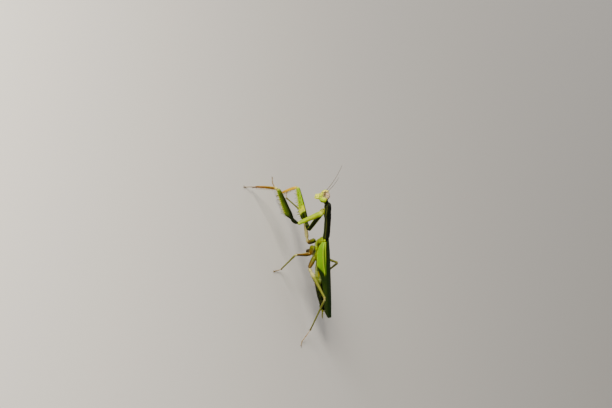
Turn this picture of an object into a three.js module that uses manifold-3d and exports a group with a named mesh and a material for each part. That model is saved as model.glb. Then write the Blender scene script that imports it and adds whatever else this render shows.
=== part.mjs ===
// A praying mantis, Mantis religiosa: an adult female at life size, walking with her head up.
// Millimetres, +Z up. She stands on a level floor at z = 0, faces -Y and has her left side at +X.
// The left front leg reaches far ahead and the right one is drawn up under the raised pronotum.

import * as THREE from 'three';
import Module from 'manifold-3d';

const wasm = await Module();
wasm.setup();

// ---- Driving dimensions ------------------------------------------------------------------

const GAP = 0.3; // clearance between neighbouring pieces
const SOCKET_GAP = 0.15; // clearance round an eye
const SHEET = 0.5; // thickness of a wing

const BACK_HEIGHT = 22.8; // the back above the floor, where the wings meet the pronotum
const TRUNK_PITCH = 17.2; // degrees, front end up: wings, hind thorax and abdomen
const PRONOTUM_PITCH = 22; // degrees, front end up
const PRONOTUM_LENGTH = 18.7;
const THORAX_LENGTH = 12.4; // middle and hind thorax together
const ABDOMEN_LENGTH = 27.4;
const ABDOMEN_SEGMENTS = 7;
const CERCUS_LENGTH = 4.4;
const WING_LENGTH = 43.8;
const HINDWING_LENGTH = 42;

const HEAD_CENTRE = [0, -21.75, 27.35];
const HEAD_TILT = -3; // degrees, mouth held a little ahead of the crown
const HEAD_TURN = 15; // degrees, face turned to her left
const HEAD_ROLL = 5; // degrees, left eye lower than the right
const HEAD_HEIGHT = 7.2;
const EYE = { centre: [2.5, -0.1, 0.7], radii: [1.1, 1.4, 1.8], lean: 14 };
const NECK_RADIUS = 1.2;
const ANTENNA_LENGTH = 21;
const ANTENNA_RADIUS = 0.27;
const BEND_AT = 0.15; // share of its length where a femur bows most

// Each leg: where it leaves the body (in the pronotum's or the trunk's frame), then the length
// and direction of its pieces. A direction is [heading, rise] in degrees: heading 0 points to
// her left (+X) and 90 to her rear (+Y). The shin's rise follows from the height of the ankle.
// A femur's bend is how far it bows towards its spined side, most of all at BEND_AT.
const LEGS = {
  front_left: {
    base: [1.7, -14, -3],
    coxa: { length: 13.6, heading: -9.5, rise: -49.9 },
    femur: { length: 20.3, heading: -89, rise: -8, bend: 1.0 },
    tibia: { length: 10.2, heading: -65, ankle: 2.9 },
    tarsus: { length: 8.6, heading: -34 },
  },
  front_right: {
    base: [-1.7, -14, -3],
    coxa: { length: 14.4, heading: 88.3, rise: -50.5 },
    femur: { length: 20.9, heading: -116.8, rise: -3.3 },
    tibia: { length: 10.2, heading: 76, ankle: 2.9 },
    tarsus: { length: 8.6, heading: -136 },
  },
  middle_left: {
    base: [2.4, 3.5, -7.0],
    coxa: { length: 4.6, heading: 75, rise: -30 },
    femur: { length: 15.3, heading: -31.6, rise: -7.2 },
    tibia: { length: 11.7, heading: 95, ankle: 1.1 },
    tarsus: { length: 7.6, heading: -26 },
  },
  middle_right: {
    base: [-2.4, 3.5, -7.0],
    coxa: { length: 4.8, heading: 132, rise: -66 },
    femur: { length: 15, heading: -135, rise: -4 },
    tibia: { length: 12, heading: -137, ankle: 1.7 },
    tarsus: { length: 7.6, heading: 176 },
  },
  hind_left: {
    base: [2.6, 9.2, -6.1],
    coxa: { length: 6.5, heading: 68, rise: -40 },
    femur: { length: 16.7, heading: 54.7, rise: 19.9 },
    tibia: { length: 19, heading: 85, ankle: 3.5 },
    tarsus: { length: 9.2, heading: 13 },
  },
  hind_right: {
    base: [-2.6, 9.2, -6.1],
    coxa: { length: 6, heading: -173, rise: -78.6 },
    femur: { length: 18, heading: 119, rise: 34 },
    tibia: { length: 19, heading: 113, ankle: 2.5 },
    tarsus: { length: 9.2, heading: 128 },
  },
};

const COLOURS = {
  head: [0xb9c850, 0.5],
  eye: [0xcfc0a8, 0.25],
  antenna: [0x8a6a3c, 0.6],
  back: [0x3f5a1c, 0.55],
  body: [0x8fa63a, 0.6],
  tegmen: [0x6f9a24, 0.5],
  hindwing: [0xa8a878, 0.45],
  leg: [0x93ae3a, 0.5],
  shin: [0xc08a3c, 0.5],
  tarsus: [0x9a7a4a, 0.6],
};

// ---- Curves, sections and lofts ----------------------------------------------------------

const radians = THREE.MathUtils.degToRad;

/** A smooth function through [t, value] points that never swings past them. */
function curve(...points) {
  const steps = points.slice(1).map(([t, value], i) => (value - points[i][1]) / (t - points[i][0]));
  const slopes = points.map((_, i) => {
    const before = steps[Math.max(i - 1, 0)];
    const after = steps[Math.min(i, steps.length - 1)];
    return before * after > 0 ? (2 * before * after) / (before + after) : 0;
  });
  return (t) => {
    let i = 0;
    while (i < points.length - 2 && t > points[i + 1][0]) i += 1;
    const [start, from] = points[i];
    const [end, to] = points[i + 1];
    const width = end - start;
    const s = THREE.MathUtils.clamp((t - start) / width, 0, 1);
    const blend = s * s * (3 - 2 * s);
    const leave = s * (1 - s) * (1 - s) * width * slopes[i];
    const arrive = s * s * (s - 1) * width * slopes[i + 1];
    return from + (to - from) * blend + leave + arrive;
  };
}

/** Numbers from start to end, evenly spaced, both ends included. */
function spread(start, end, count) {
  return Array.from({ length: count }, (_, i) => start + ((end - start) * i) / (count - 1));
}

/** A section with its own reach on each side of its centre; power 2 is round, more is boxier. */
function section({ right, left = right, top, bottom = top, power = 2, sides = 8 }) {
  return Array.from({ length: sides }, (_, k) => {
    const angle = ((k + 0.5) / sides) * 2 * Math.PI;
    const along = Math.cos(angle);
    const up = Math.sin(angle);
    const shape = 2 / power;
    const x = Math.sign(along) * Math.abs(along) ** shape * (along > 0 ? right : left);
    const y = Math.sign(up) * Math.abs(up) ** shape * (up > 0 ? top : bottom);
    return new THREE.Vector2(x, y);
  });
}

/** A geometry's volume, negative where its faces point in. */
function signedVolume(positions, indices) {
  const corner = (i) => new THREE.Vector3().fromArray(positions, 3 * indices[i]);
  let volume = 0;
  for (let i = 0; i < indices.length; i += 3) {
    volume += corner(i).dot(corner(i + 1).cross(corner(i + 2))) / 6;
  }
  return volume;
}

/** A closed solid through sections of equal point counts; place(point, i) sets a point in space. */
function loft(sections, place) {
  const count = sections[0].length;
  const positions = [];
  sections.forEach((points, i) => {
    points.forEach((point) => positions.push(...place(point, i).toArray()));
  });
  const indices = [];
  for (let i = 0; i + 1 < sections.length; i += 1) {
    for (let k = 0; k < count; k += 1) {
      const a = i * count + k;
      const b = i * count + ((k + 1) % count);
      indices.push(a, b, b + count, a, b + count, a + count);
    }
  }
  const last = sections.length - 1;
  for (const [a, b, c] of THREE.ShapeUtils.triangulateShape(sections[0], [])) {
    indices.push(c, b, a);
  }
  for (const face of THREE.ShapeUtils.triangulateShape(sections[last], [])) {
    indices.push(...face.map((k) => last * count + k));
  }
  if (signedVolume(positions, indices) < 0) indices.reverse();
  const geometry = new THREE.BufferGeometry();
  geometry.setAttribute('position', new THREE.Float32BufferAttribute(positions, 3));
  geometry.setIndex(indices);
  return geometry;
}

/** How far a rounded end has opened at distance t from it, from a small flat to full size. */
function dome(t, reach) {
  const s = THREE.MathUtils.clamp(t / reach, 0, 1);
  return 0.4 + 0.6 * Math.sqrt(1 - (1 - s) * (1 - s));
}

/**
 * A limb's piece along local +Z. Its +X side is the inside of the bend at its far end.
 * inner, outer and side give its reach towards +X, -X and both of +-Y at a share t of its length.
 */
function limb({ length, inner, outer = inner, side = inner, bow = () => 0, rings = 7, sides = 8 }, grow) {
  const reach = 0.9;
  const ends = [0, 0.3 * reach, reach];
  const middle = spread(reach, length - reach, rings).slice(1, -1);
  const stations = [...ends, ...middle, ...ends.map((t) => length - t).reverse()];
  const sections = stations.map((z) => {
    const share = z / length;
    const open = Math.min(dome(z, reach), dome(length - z, reach));
    return section({
      right: inner(share) * open + grow,
      left: outer(share) * open + grow,
      top: side(share) * open + grow,
      sides,
    });
  });
  return loft(sections, (point, i) => {
    const ending = (i === stations.length - 1) - (i === 0);
    const z = stations[i] + ending * grow;
    return new THREE.Vector3(point.x + bow(stations[i] / length), point.y, z);
  });
}

/** A pointed spine from one point to another, three-sided, buried a little at its root. */
function spine(from, to, radius) {
  const axis = new THREE.Vector3().subVectors(to, from);
  const turn = new THREE.Quaternion().setFromUnitVectors(
    new THREE.Vector3(0, 0, 1),
    axis.clone().normalize(),
  );
  const ends = [radius, 0.2 * radius].map((size) => section({ right: size, top: size, sides: 3 }));
  return loft(ends, (point, i) => {
    const local = new THREE.Vector3(point.x, point.y, i * axis.length());
    return local.applyQuaternion(turn).add(from);
  });
}

/** A round tube through rings at a curve's points; radius(t) is its size at a share t. */
function tube(path, radius, { rings = 8, sides = 6, grow = 0 } = {}) {
  const stations = spread(0, 1, rings);
  const frames = path.computeFrenetFrames(rings - 1, false);
  const sections = stations.map((t) => {
    const size = radius(t) + grow;
    return section({ right: size, top: size, sides });
  });
  return loft(sections, (point, i) =>
    path
      .getPoint(stations[i])
      .addScaledVector(frames.normals[i], point.x)
      .addScaledVector(frames.binormals[i], point.y),
  );
}

// ---- Booleans ----------------------------------------------------------------------------

/** A closed geometry as a solid that can be joined and cut; points that repeat become one. */
function solid(geometry) {
  const mesh = new wasm.Mesh({
    numProp: 3,
    vertProperties: new Float32Array(geometry.attributes.position.array),
    triVerts: new Uint32Array(geometry.index.array),
  });
  mesh.merge();
  return new wasm.Manifold(mesh);
}

/** A solid as a geometry again. */
function geometryOf(body) {
  const mesh = body.getMesh();
  const geometry = new THREE.BufferGeometry();
  geometry.setAttribute('position', new THREE.BufferAttribute(mesh.vertProperties, 3));
  geometry.setIndex(new THREE.BufferAttribute(mesh.triVerts, 1));
  return geometry;
}

/** Joins extra forms to a geometry. */
function join(geometry, extras) {
  return geometryOf(extras.reduce((body, extra) => body.add(solid(extra)), solid(geometry)));
}

/** Cuts room in a geometry placed at `place` for grown neighbours, each { geometry, place }. */
function clear(geometry, place, neighbours) {
  const back = place.clone().invert();
  return geometryOf(
    neighbours.reduce((body, neighbour) => {
      const seen = neighbour.geometry.clone().applyMatrix4(back.clone().multiply(neighbour.place));
      return body.subtract(solid(seen));
    }, solid(geometry)),
  );
}

// ---- Groups and meshes -------------------------------------------------------------------

const mantis = new THREE.Group();
const model = new THREE.Group();
mantis.add(model);

/** A group at a point, rolled, pitched and then turned by degrees about Y, X and Z. */
function frameAt([x, y, z], { pitch, roll = 0, turn = 0 }) {
  const group = new THREE.Group();
  group.position.set(x, y, z);
  group.rotation.order = 'ZXY';
  group.rotation.set(radians(pitch), radians(roll), radians(turn));
  model.add(group);
  group.updateMatrixWorld(true);
  return group;
}

const trunk = frameAt([0, 0, BACK_HEIGHT], { pitch: -TRUNK_PITCH });
const front = frameAt([0, 0, BACK_HEIGHT], { pitch: -PRONOTUM_PITCH });
const skull = frameAt(HEAD_CENTRE, { pitch: HEAD_TILT, roll: HEAD_ROLL, turn: HEAD_TURN });

/** Adds one named mesh to a group. */
function addMesh(group, name, geometry, look) {
  const [color, roughness] = COLOURS[look];
  const material = new THREE.MeshStandardMaterial({ color, roughness, metalness: 0 });
  const mesh = new THREE.Mesh(geometry, material);
  mesh.name = name;
  group.add(mesh);
  return mesh;
}

// ---- Pronotum, hind thorax and abdomen ---------------------------------------------------

/** The pronotum, narrow behind and widest above the front hips; y = 0 is its rear edge. */
function pronotumShape(grow = 0) {
  const half = curve(
    [0, 2.15], [3, 2.0], [8, 1.9], [11, 2.2], [13.4, 3.0], [16, 2.6], [17.6, 2.2], [18.7, 1.6],
  );
  const keel = curve(
    [0, 0.45], [4, 0.62], [12, 0.62], [13.6, 0.45], [15, 0.55], [17.6, 0.2], [18.7, -0.3],
  );
  const margin = curve([0, -1.2], [10, -1.0], [13.4, -1.3], [17, -1.1], [18.7, -1.2]);
  const floor = curve([0, -2.7], [4, -2.4], [10, -2.4], [13.4, -2.9], [17, -2.9], [18.7, -2.5]);
  const stations = [0, 1, 3, 5.5, 8, 10, 11.6, 12.8, 13.8, 15, 16.2, 17.4, 18.2, PRONOTUM_LENGTH];
  const sections = stations.map((t) =>
    section({
      right: half(t) + grow,
      top: keel(t) - margin(t) + grow,
      bottom: margin(t) - floor(t) + grow,
      power: 2.3,
      sides: 12,
    }),
  );
  return loft(sections, (point, i) => {
    const t = stations[i];
    const ending = (i === stations.length - 1) - (i === 0);
    return new THREE.Vector3(point.x, -t - ending * grow, point.y + margin(t));
  });
}

/** The middle and hind thorax, deep under the wing roots. */
function thoraxShape(grow = 0) {
  const half = curve([0, 1.5], [2, 2.3], [6, 2.7], [10, 2.8], [12.4, 2.3]);
  const roof = curve([0, -1.75], [4.5, -1.8], [7.4, -2.75], [12.4, -2.6]);
  const floor = curve([0, -3.4], [2, -5.6], [4, -6.6], [7, -6.3], [9.5, -6.9], [12.4, -6.4]);
  const stations = [0, 0.9, 2.2, 4, 5.6, 7.2, 9, 10.8, THORAX_LENGTH];
  const sections = stations.map((t) => {
    const deep = (roof(t) - floor(t)) / 2;
    return section({ right: half(t) + grow, top: deep + grow, power: 2.5, sides: 12 });
  });
  return loft(sections, (point, i) => {
    const t = stations[i];
    const y = t + GAP;
    return new THREE.Vector3(point.x, y, point.y + (roof(t) + floor(t)) / 2);
  });
}

const ABDOMEN_START = THORAX_LENGTH + 2 * GAP;

/** The abdomen: each segment swells from its front edge and steps in where the next one starts. */
function abdomenShape() {
  const half = curve([0, 2.3], [0.15, 2.8], [0.55, 3.1], [0.8, 2.6], [1, 1.2]);
  const roof = curve([0, -2.6], [0.6, -2.5], [1, -2.7]);
  const floor = curve([0, -6.2], [0.2, -6.8], [0.5, -6.8], [0.8, -5.5], [1, -4.0]);
  const swell = [-0.22, 0.0, -0.02];
  const stations = [];
  for (let i = 0; i < ABDOMEN_SEGMENTS; i += 1) {
    swell.forEach((size, k) => stations.push([(i + [0, 0.25, 0.97][k]) / ABDOMEN_SEGMENTS, size]));
  }
  stations.push([1, -0.5]);
  const sections = stations.map(([t, size]) => {
    const deep = (roof(t) - floor(t)) / 2 + size;
    return section({ right: half(t) + size, top: deep, power: 2.3, sides: 10 });
  });
  return loft(sections, (point, i) => {
    const [t] = stations[i];
    const y = ABDOMEN_START + t * ABDOMEN_LENGTH;
    return new THREE.Vector3(point.x, y, point.y + (roof(t) + floor(t)) / 2);
  });
}

/** A cercus: a short jointed feeler beside the tip of the abdomen, along local +Y. */
function cercusShape() {
  const radius = curve([0, 0.42], [0.5, 0.36], [1, 0.26]);
  const stations = spread(0, 1, 7);
  const sections = stations.map((t, i) => {
    const size = radius(t) * (i % 2 ? 1 : 0.85);
    return section({ right: size, top: size, sides: 6 });
  });
  return loft(sections, (point, i) => new THREE.Vector3(point.x, stations[i] * CERCUS_LENGTH, point.y));
}

addMesh(front, 'pronotum', pronotumShape(), 'back');
addMesh(trunk, 'pterothorax', thoraxShape(), 'body');
addMesh(trunk, 'abdomen', abdomenShape(), 'body');
for (const [side, sign] of [['left', 1], ['right', -1]]) {
  const cercus = addMesh(trunk, `cercus_${side}`, cercusShape(), 'body');
  cercus.position.set(sign * 2.15, ABDOMEN_START + ABDOMEN_LENGTH - 1.6, -3.5);
  cercus.rotation.z = radians(-10 * sign);
}

// ---- Wings -------------------------------------------------------------------------------

/** A thin closed band along a line of section points, SHEET thick. */
function band(line) {
  const offset = (way) =>
    line.map((point, i) => {
      const ahead = line[Math.min(i + 1, line.length - 1)];
      const behind = line[Math.max(i - 1, 0)];
      const along = new THREE.Vector2().subVectors(ahead, behind).normalize();
      const normal = new THREE.Vector2(-along.y, along.x);
      return point.clone().addScaledVector(normal, (way * SHEET) / 2);
    });
  return [...offset(-1), ...offset(1).reverse()];
}

/**
 * A forewing folded along its ridge: the flat field lies over the back, past the middle line,
 * and the front field hangs down the flank. The left wing lies on top of the right one.
 */
function tegmenShape(sign) {
  const upper = sign > 0;
  const ridge = curve([0, 2.9], [4, 3.6], [12, 3.85], [28, 3.75], [36, 3.2], [41, 2.2], [43.8, 0.8]);
  const drop = curve(
    [0, 1.1], [3, 3.0], [7, 4.0], [12, 4.1], [16, 3.5], [20, 2.4], [26, 1.7], [36, 1.3], [43.8, 0.7],
  );
  const cross = curve([0, 0.3], [10, 0.76], [36, 0.78], [43.8, 0.3]);
  const ridgeLow = upper ? -0.75 : -1.1;
  const middleLow = upper ? 0.15 : -0.67;
  const edgeLow = upper ? -0.25 : -1.3;
  const stations = [0.7, 2, 4, 7, 11, 16, 22, 28, 33, 37, 40.3, 42.6, WING_LENGTH];
  const sections = stations.map((t) => {
    const far = ridge(t) * cross(t) * (upper ? 1 : 0.85);
    const line = [
      [-far, edgeLow],
      [-0.5 * far, (edgeLow + 2 * middleLow) / 3],
      [0.25 * ridge(t), middleLow],
      [0.7 * ridge(t), (ridgeLow + 2 * middleLow) / 3 - (upper ? 0 : 0.18)],
      [ridge(t), ridgeLow],
      [ridge(t) + 0.35, ridgeLow - 0.35 * drop(t)],
      [ridge(t) + 0.3, ridgeLow - drop(t)],
    ];
    return band(line.map(([x, z]) => new THREE.Vector2(sign * x, z)));
  });
  return loft(sections, (point, i) => new THREE.Vector3(point.x, stations[i], point.y));
}

/** A hindwing folded into a flat pleated pack under the forewings. */
function hindwingShape(sign) {
  const half = curve([8.2, 2.2], [12, 2.7], [30, 2.8], [37, 2.2], [42, 0.9]);
  const stations = [8.2, 11, 18, 26, 32, 37, 40, HINDWING_LENGTH];
  const sections = stations.map((t) => {
    const line = [
      [0.2, -1.9],
      [0.55 * half(t), -2.02],
      [half(t), -2.4],
    ];
    return band(line.map(([x, z]) => new THREE.Vector2(sign * x, z)));
  });
  return loft(sections, (point, i) => new THREE.Vector3(point.x, stations[i], point.y));
}

for (const [side, sign] of [['left', 1], ['right', -1]]) {
  addMesh(trunk, `tegmen_${side}`, tegmenShape(sign), 'tegmen');
  addMesh(trunk, `hindwing_${side}`, hindwingShape(sign), 'hindwing');
}

// ---- Head, eyes, neck and antennae -------------------------------------------------------

/** One palp beside the mouth: a thin bent finger. */
function palp(sign, out, drop) {
  const path = new THREE.QuadraticBezierCurve3(
    new THREE.Vector3(sign * 0.7, 0.1, -2.6),
    new THREE.Vector3(sign * out, -0.5, -2.9),
    new THREE.Vector3(sign * (out - 0.3), -0.7, -drop),
  );
  return tube(path, curve([0, 0.28], [1, 0.25]), { rings: 4, sides: 4 });
}

/** One jaw beside the upper lip, running down and inward to the mouth. */
function mandible(sign) {
  const path = new THREE.LineCurve3(
    new THREE.Vector3(sign * 1.0, -0.45, -1.9),
    new THREE.Vector3(sign * 0.3, -0.5, -3.7),
  );
  return tube(path, curve([0, 0.55], [0.6, 0.5], [1, 0.25]), { rings: 4, sides: 6 });
}

/** The upper lip, a small plate that closes the mouth in front. */
function labrum() {
  const half = [0.85, 0.8, 0.35];
  const heights = [-2.2, -3.1, -3.75];
  const sections = half.map((right) => section({ right, top: 0.28, power: 3, sides: 8 }));
  return loft(sections, (point, i) => new THREE.Vector3(point.x, point.y - 0.95 + 0.1 * i, heights[i]));
}

/** The head capsule: a triangle seen from the front, broad between the eyes. */
function skullShape(grow = 0) {
  const top = HEAD_HEIGHT / 2;
  const half = curve([-3.6, 0.6], [-2.8, 1.1], [-1.7, 1.4], [-0.3, 2.3], [1.1, 2.9], [2.6, 2.2], [3.6, 1.1]);
  const face = curve([-3.6, 0.5], [-2.6, 1.0], [-1.2, 1.4], [0.4, 1.65], [2.2, 1.35], [3.6, 0.5]);
  const nape = curve([-3.6, 0.4], [-2.6, 0.7], [-1.2, 1.1], [0.8, 1.5], [2.4, 1.25], [3.6, 0.5]);
  const stations = [-top, -3.1, -2.4, -1.5, -0.5, 0.5, 1.4, 2.2, 2.9, 3.35, top];
  const sections = stations.map((z) =>
    section({
      right: half(z) + grow,
      top: nape(z) + grow,
      bottom: face(z) + grow,
      power: 2.3,
      sides: 12,
    }),
  );
  return loft(sections, (point, i) => {
    const ending = (i === stations.length - 1) - (i === 0);
    return new THREE.Vector3(point.x, point.y, stations[i] + ending * grow);
  });
}

/** One eye, an egg that leans outward at its top. */
function eyeShape(sign, grow = 0) {
  const [x, y, z] = EYE.centre;
  const geometry = new THREE.SphereGeometry(1, 12, 8);
  geometry.deleteAttribute('normal');
  geometry.deleteAttribute('uv');
  const size = EYE.radii.map((radius) => radius + grow);
  geometry.rotateX(Math.PI / 2);
  geometry.scale(...size);
  geometry.rotateY(radians(sign * EYE.lean));
  geometry.translate(sign * x, y, z);
  return geometryOf(solid(geometry));
}

const eyes = [1, -1].map((sign) => ({
  geometry: eyeShape(sign, SOCKET_GAP),
  place: new THREE.Matrix4(),
}));
const mouthparts = [1, -1].flatMap((sign) => [
  palp(sign, 1.6, 3.7),
  palp(sign, 0.9, 3.95),
  mandible(sign),
]);
const face = join(skullShape(), [labrum(), ...mouthparts]);
addMesh(skull, 'head', clear(face, new THREE.Matrix4(), eyes), 'head');
addMesh(skull, 'eye_left', eyeShape(1), 'eye');
addMesh(skull, 'eye_right', eyeShape(-1), 'eye');

/** The neck, from under the front of the pronotum to the back of the head. */
function neckShape() {
  const path = new THREE.LineCurve3(new THREE.Vector3(0, -16.8, 28), new THREE.Vector3(0, -21.5, 27.9));
  return tube(path, () => NECK_RADIUS, { rings: 3, sides: 10 });
}

const neckRoom = [
  { geometry: pronotumShape(GAP), place: front.matrixWorld },
  { geometry: skullShape(GAP), place: skull.matrixWorld },
];
addMesh(model, 'neck', clear(neckShape(), new THREE.Matrix4(), neckRoom), 'body');

/** An antenna: a long fine feeler that curves up, forward and a little out. */
function antennaShape(sign) {
  const path = new THREE.QuadraticBezierCurve3(
    new THREE.Vector3(sign * 0.75, -1.2, 0.5),
    new THREE.Vector3(sign * 1.5, -0.3 * ANTENNA_LENGTH, 0.36 * ANTENNA_LENGTH),
    new THREE.Vector3(sign * 4.0, -0.72 * ANTENNA_LENGTH, 0.66 * ANTENNA_LENGTH),
  );
  return tube(path, curve([0, 1.5 * ANTENNA_RADIUS], [0.06, ANTENNA_RADIUS], [1, ANTENNA_RADIUS]), {
    rings: 12,
    sides: 5,
  });
}

const brow = { geometry: skullShape(SOCKET_GAP), place: new THREE.Matrix4() };
addMesh(skull, 'antenna_left', clear(antennaShape(1), new THREE.Matrix4(), [brow]), 'antenna');
addMesh(skull, 'antenna_right', clear(antennaShape(-1), new THREE.Matrix4(), [brow]), 'antenna');

// ---- Legs --------------------------------------------------------------------------------

/** A unit vector from a heading and a rise in degrees. */
function direction(heading, rise) {
  const level = Math.cos(radians(rise));
  return new THREE.Vector3(
    level * Math.cos(radians(heading)),
    level * Math.sin(radians(heading)),
    Math.sin(radians(rise)),
  );
}

/** The points where a leg's pieces meet: hip, coxa's end, knee and ankle. */
function joints(leg, body) {
  const hip = new THREE.Vector3(...leg.base).applyMatrix4(body.matrixWorld);
  const hinge = hip.clone().addScaledVector(direction(leg.coxa.heading, leg.coxa.rise), leg.coxa.length);
  const knee = hinge.clone().addScaledVector(direction(leg.femur.heading, leg.femur.rise), leg.femur.length);
  const fall = THREE.MathUtils.radToDeg(Math.asin((knee.z - leg.tibia.ankle) / leg.tibia.length));
  const ankle = knee.clone().addScaledVector(direction(leg.tibia.heading, -fall), leg.tibia.length);
  return { hip, hinge, knee, ankle };
}

/** Places a limb's piece: local +Z runs from one joint to the next, +X leans towards `inside`. */
function along(from, to, inside) {
  const axis = new THREE.Vector3().subVectors(to, from).normalize();
  const side = new THREE.Vector3().crossVectors(axis, inside).normalize();
  const bend = new THREE.Vector3().crossVectors(side, axis);
  return new THREE.Matrix4().makeBasis(bend, side, axis).setPosition(from);
}

const FRONT_COXA = {
  inner: curve([0, 1.1], [0.15, 1.4], [0.5, 1.2], [1, 0.85]),
  outer: curve([0, 0.95], [0.2, 1.1], [0.6, 1.0], [1, 0.85]),
  side: curve([0, 1.0], [0.2, 1.4], [0.7, 1.2], [1, 0.9]),
  rings: 6,
};
const FRONT_FEMUR = {
  inner: curve([0, 0.8], [0.1, 0.95], [0.165, 0.9], [0.34, 2.3], [0.48, 2.2], [0.8, 1.35], [1, 0.85]),
  outer: curve([0, 0.8], [0.1, 1.0], [0.165, 0.8], [0.3, 1.2], [0.6, 1.25], [0.85, 1.1], [1, 0.9]),
  side: curve([0, 0.7], [0.1, 0.85], [0.165, 0.7], [0.35, 1.0], [0.6, 0.9], [1, 0.7]),
  rings: 10,
};
const FRONT_TIBIA = {
  inner: curve([0, 0.6], [0.15, 0.75], [0.6, 0.55], [1, 0.4]),
  outer: curve([0, 0.6], [0.15, 0.75], [0.6, 0.6], [1, 0.5]),
  side: curve([0, 0.5], [0.2, 0.6], [1, 0.4]),
  bow: curve([0, 0], [0.5, -0.25], [1, 0]),
  rings: 5,
  sides: 6,
};
const WALKING_COXA = { inner: curve([0, 1.15], [0.4, 1.15], [1, 0.85]), rings: 4 };
const MIDDLE_FEMUR = {
  inner: curve([0, 0.6], [0.1, 0.72], [0.15, 0.58], [0.24, 0.9], [0.6, 0.65], [0.92, 0.5], [1, 0.55]),
  rings: 8,
  sides: 6,
};
const HIND_FEMUR = {
  inner: curve([0, 0.65], [0.09, 0.78], [0.13, 0.62], [0.22, 0.98], [0.6, 0.68], [0.92, 0.5], [1, 0.58]),
  rings: 9,
  sides: 6,
};
const WALKING_TIBIA = {
  inner: curve([0, 0.42], [0.06, 0.5], [0.5, 0.36], [0.92, 0.34], [1, 0.42]),
  sides: 6,
};

/** Two rows of femur spines and the long ones between them, on the side the shin closes on. */
function femurSpines({ length, inner, side, bow = () => 0 }) {
  const spines = [];
  const row = (shares, edge, lean, lengthAt) => {
    shares.forEach((share, i) => {
      const z = share * length;
      const x = 0.72 * inner(share) + bow(share);
      const root = new THREE.Vector3(x, edge * 0.6 * side(share), z);
      const reach = lengthAt(i) + 0.28 * inner(share);
      const way = new THREE.Vector3(1, edge * 0.25, lean).normalize();
      spines.push(spine(root, root.clone().addScaledVector(way, reach), 0.26));
    });
  };
  row(spread(0.4, 0.92, 11), 1, 0.12, (i) => (i % 2 ? 1.15 : 0.65));
  row(spread(0.46, 0.84, 4), -1, 0.1, () => 1.35);
  row(spread(0.3, 0.44, 4), 0, 0.05, (i) => [0.8, 1.1, 1.9, 1.3][i]);
  return spines;
}

/** The shin's spine rows and the curved claw that it ends in. */
function tibiaSpines(length) {
  const spines = [];
  const { inner, side } = FRONT_TIBIA;
  for (const [edge, count] of [[1, 8], [-1, 6]]) {
    spread(0.22, 0.92, count).forEach((share, i) => {
      const root = new THREE.Vector3(0.4 * inner(share), edge * 0.6 * side(share), share * length);
      const way = new THREE.Vector3(0.75, edge * 0.3, 0.55).normalize();
      spines.push(spine(root, root.clone().addScaledVector(way, 0.75 + 0.07 * i), 0.22));
    });
  }
  const claw = new THREE.QuadraticBezierCurve3(
    new THREE.Vector3(0.05, 0, length - 0.6),
    new THREE.Vector3(0.15, 0, length + 0.9),
    new THREE.Vector3(1.1, 0, length + 1.8),
  );
  spines.push(tube(claw, curve([0, 0.4], [0.5, 0.3], [1, 0.1]), { rings: 4, sides: 4 }));
  return spines;
}

/** The pair of spurs at the end of a walking leg's shin. */
function shinSpurs(length) {
  return [1, -1].map((edge) => {
    const root = new THREE.Vector3(0.1, 0.12 * edge, length - 0.7);
    return spine(root, new THREE.Vector3(0.75, 0.45 * edge, length + 0.35), 0.2);
  });
}

const TARSUS_SHARES = [0.42, 0.17, 0.13, 0.1, 0.18];

/** A foot of five joints with two claws: the first joint slopes down, the others lie flat. */
function tarsusShape({ length }, height, grow = 0) {
  const stations = [];
  let start = 0;
  TARSUS_SHARES.forEach((share) => {
    const end = start + share * length;
    stations.push([start + 0.1, 0.25], [start + 0.3 * (end - start), 0.27], [end - 0.1, 0.34]);
    start = end;
  });
  const down = 0.72 * length;
  const flat = Math.cos(Math.PI / 6);
  const centre = (x, radius) => radius * flat + (height - 0.3) * Math.max(1 - x / down, 0);
  const sections = stations.map(([, radius]) => {
    const size = radius + grow;
    return section({ right: size, top: size, sides: 6 });
  });
  const shape = loft(sections, (point, i) => {
    const [x, radius] = stations[i];
    return new THREE.Vector3(x, -point.y, centre(x, radius) + point.x);
  });
  const claws = [1, -1].map((edge) => {
    const root = new THREE.Vector3(length - 0.4, 0.08 * edge, 0.28);
    return spine(root, new THREE.Vector3(length + 0.7, 0.55 * edge, 0.14), 0.17);
  });
  return join(shape, claws);
}

const KINDS = {
  front: { coxa: FRONT_COXA, femur: FRONT_FEMUR, tibia: FRONT_TIBIA, spur: tibiaSpines },
  middle: { coxa: WALKING_COXA, femur: MIDDLE_FEMUR, tibia: WALKING_TIBIA, spur: shinSpurs },
  hind: { coxa: WALKING_COXA, femur: HIND_FEMUR, tibia: WALKING_TIBIA, spur: shinSpurs },
};

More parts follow.
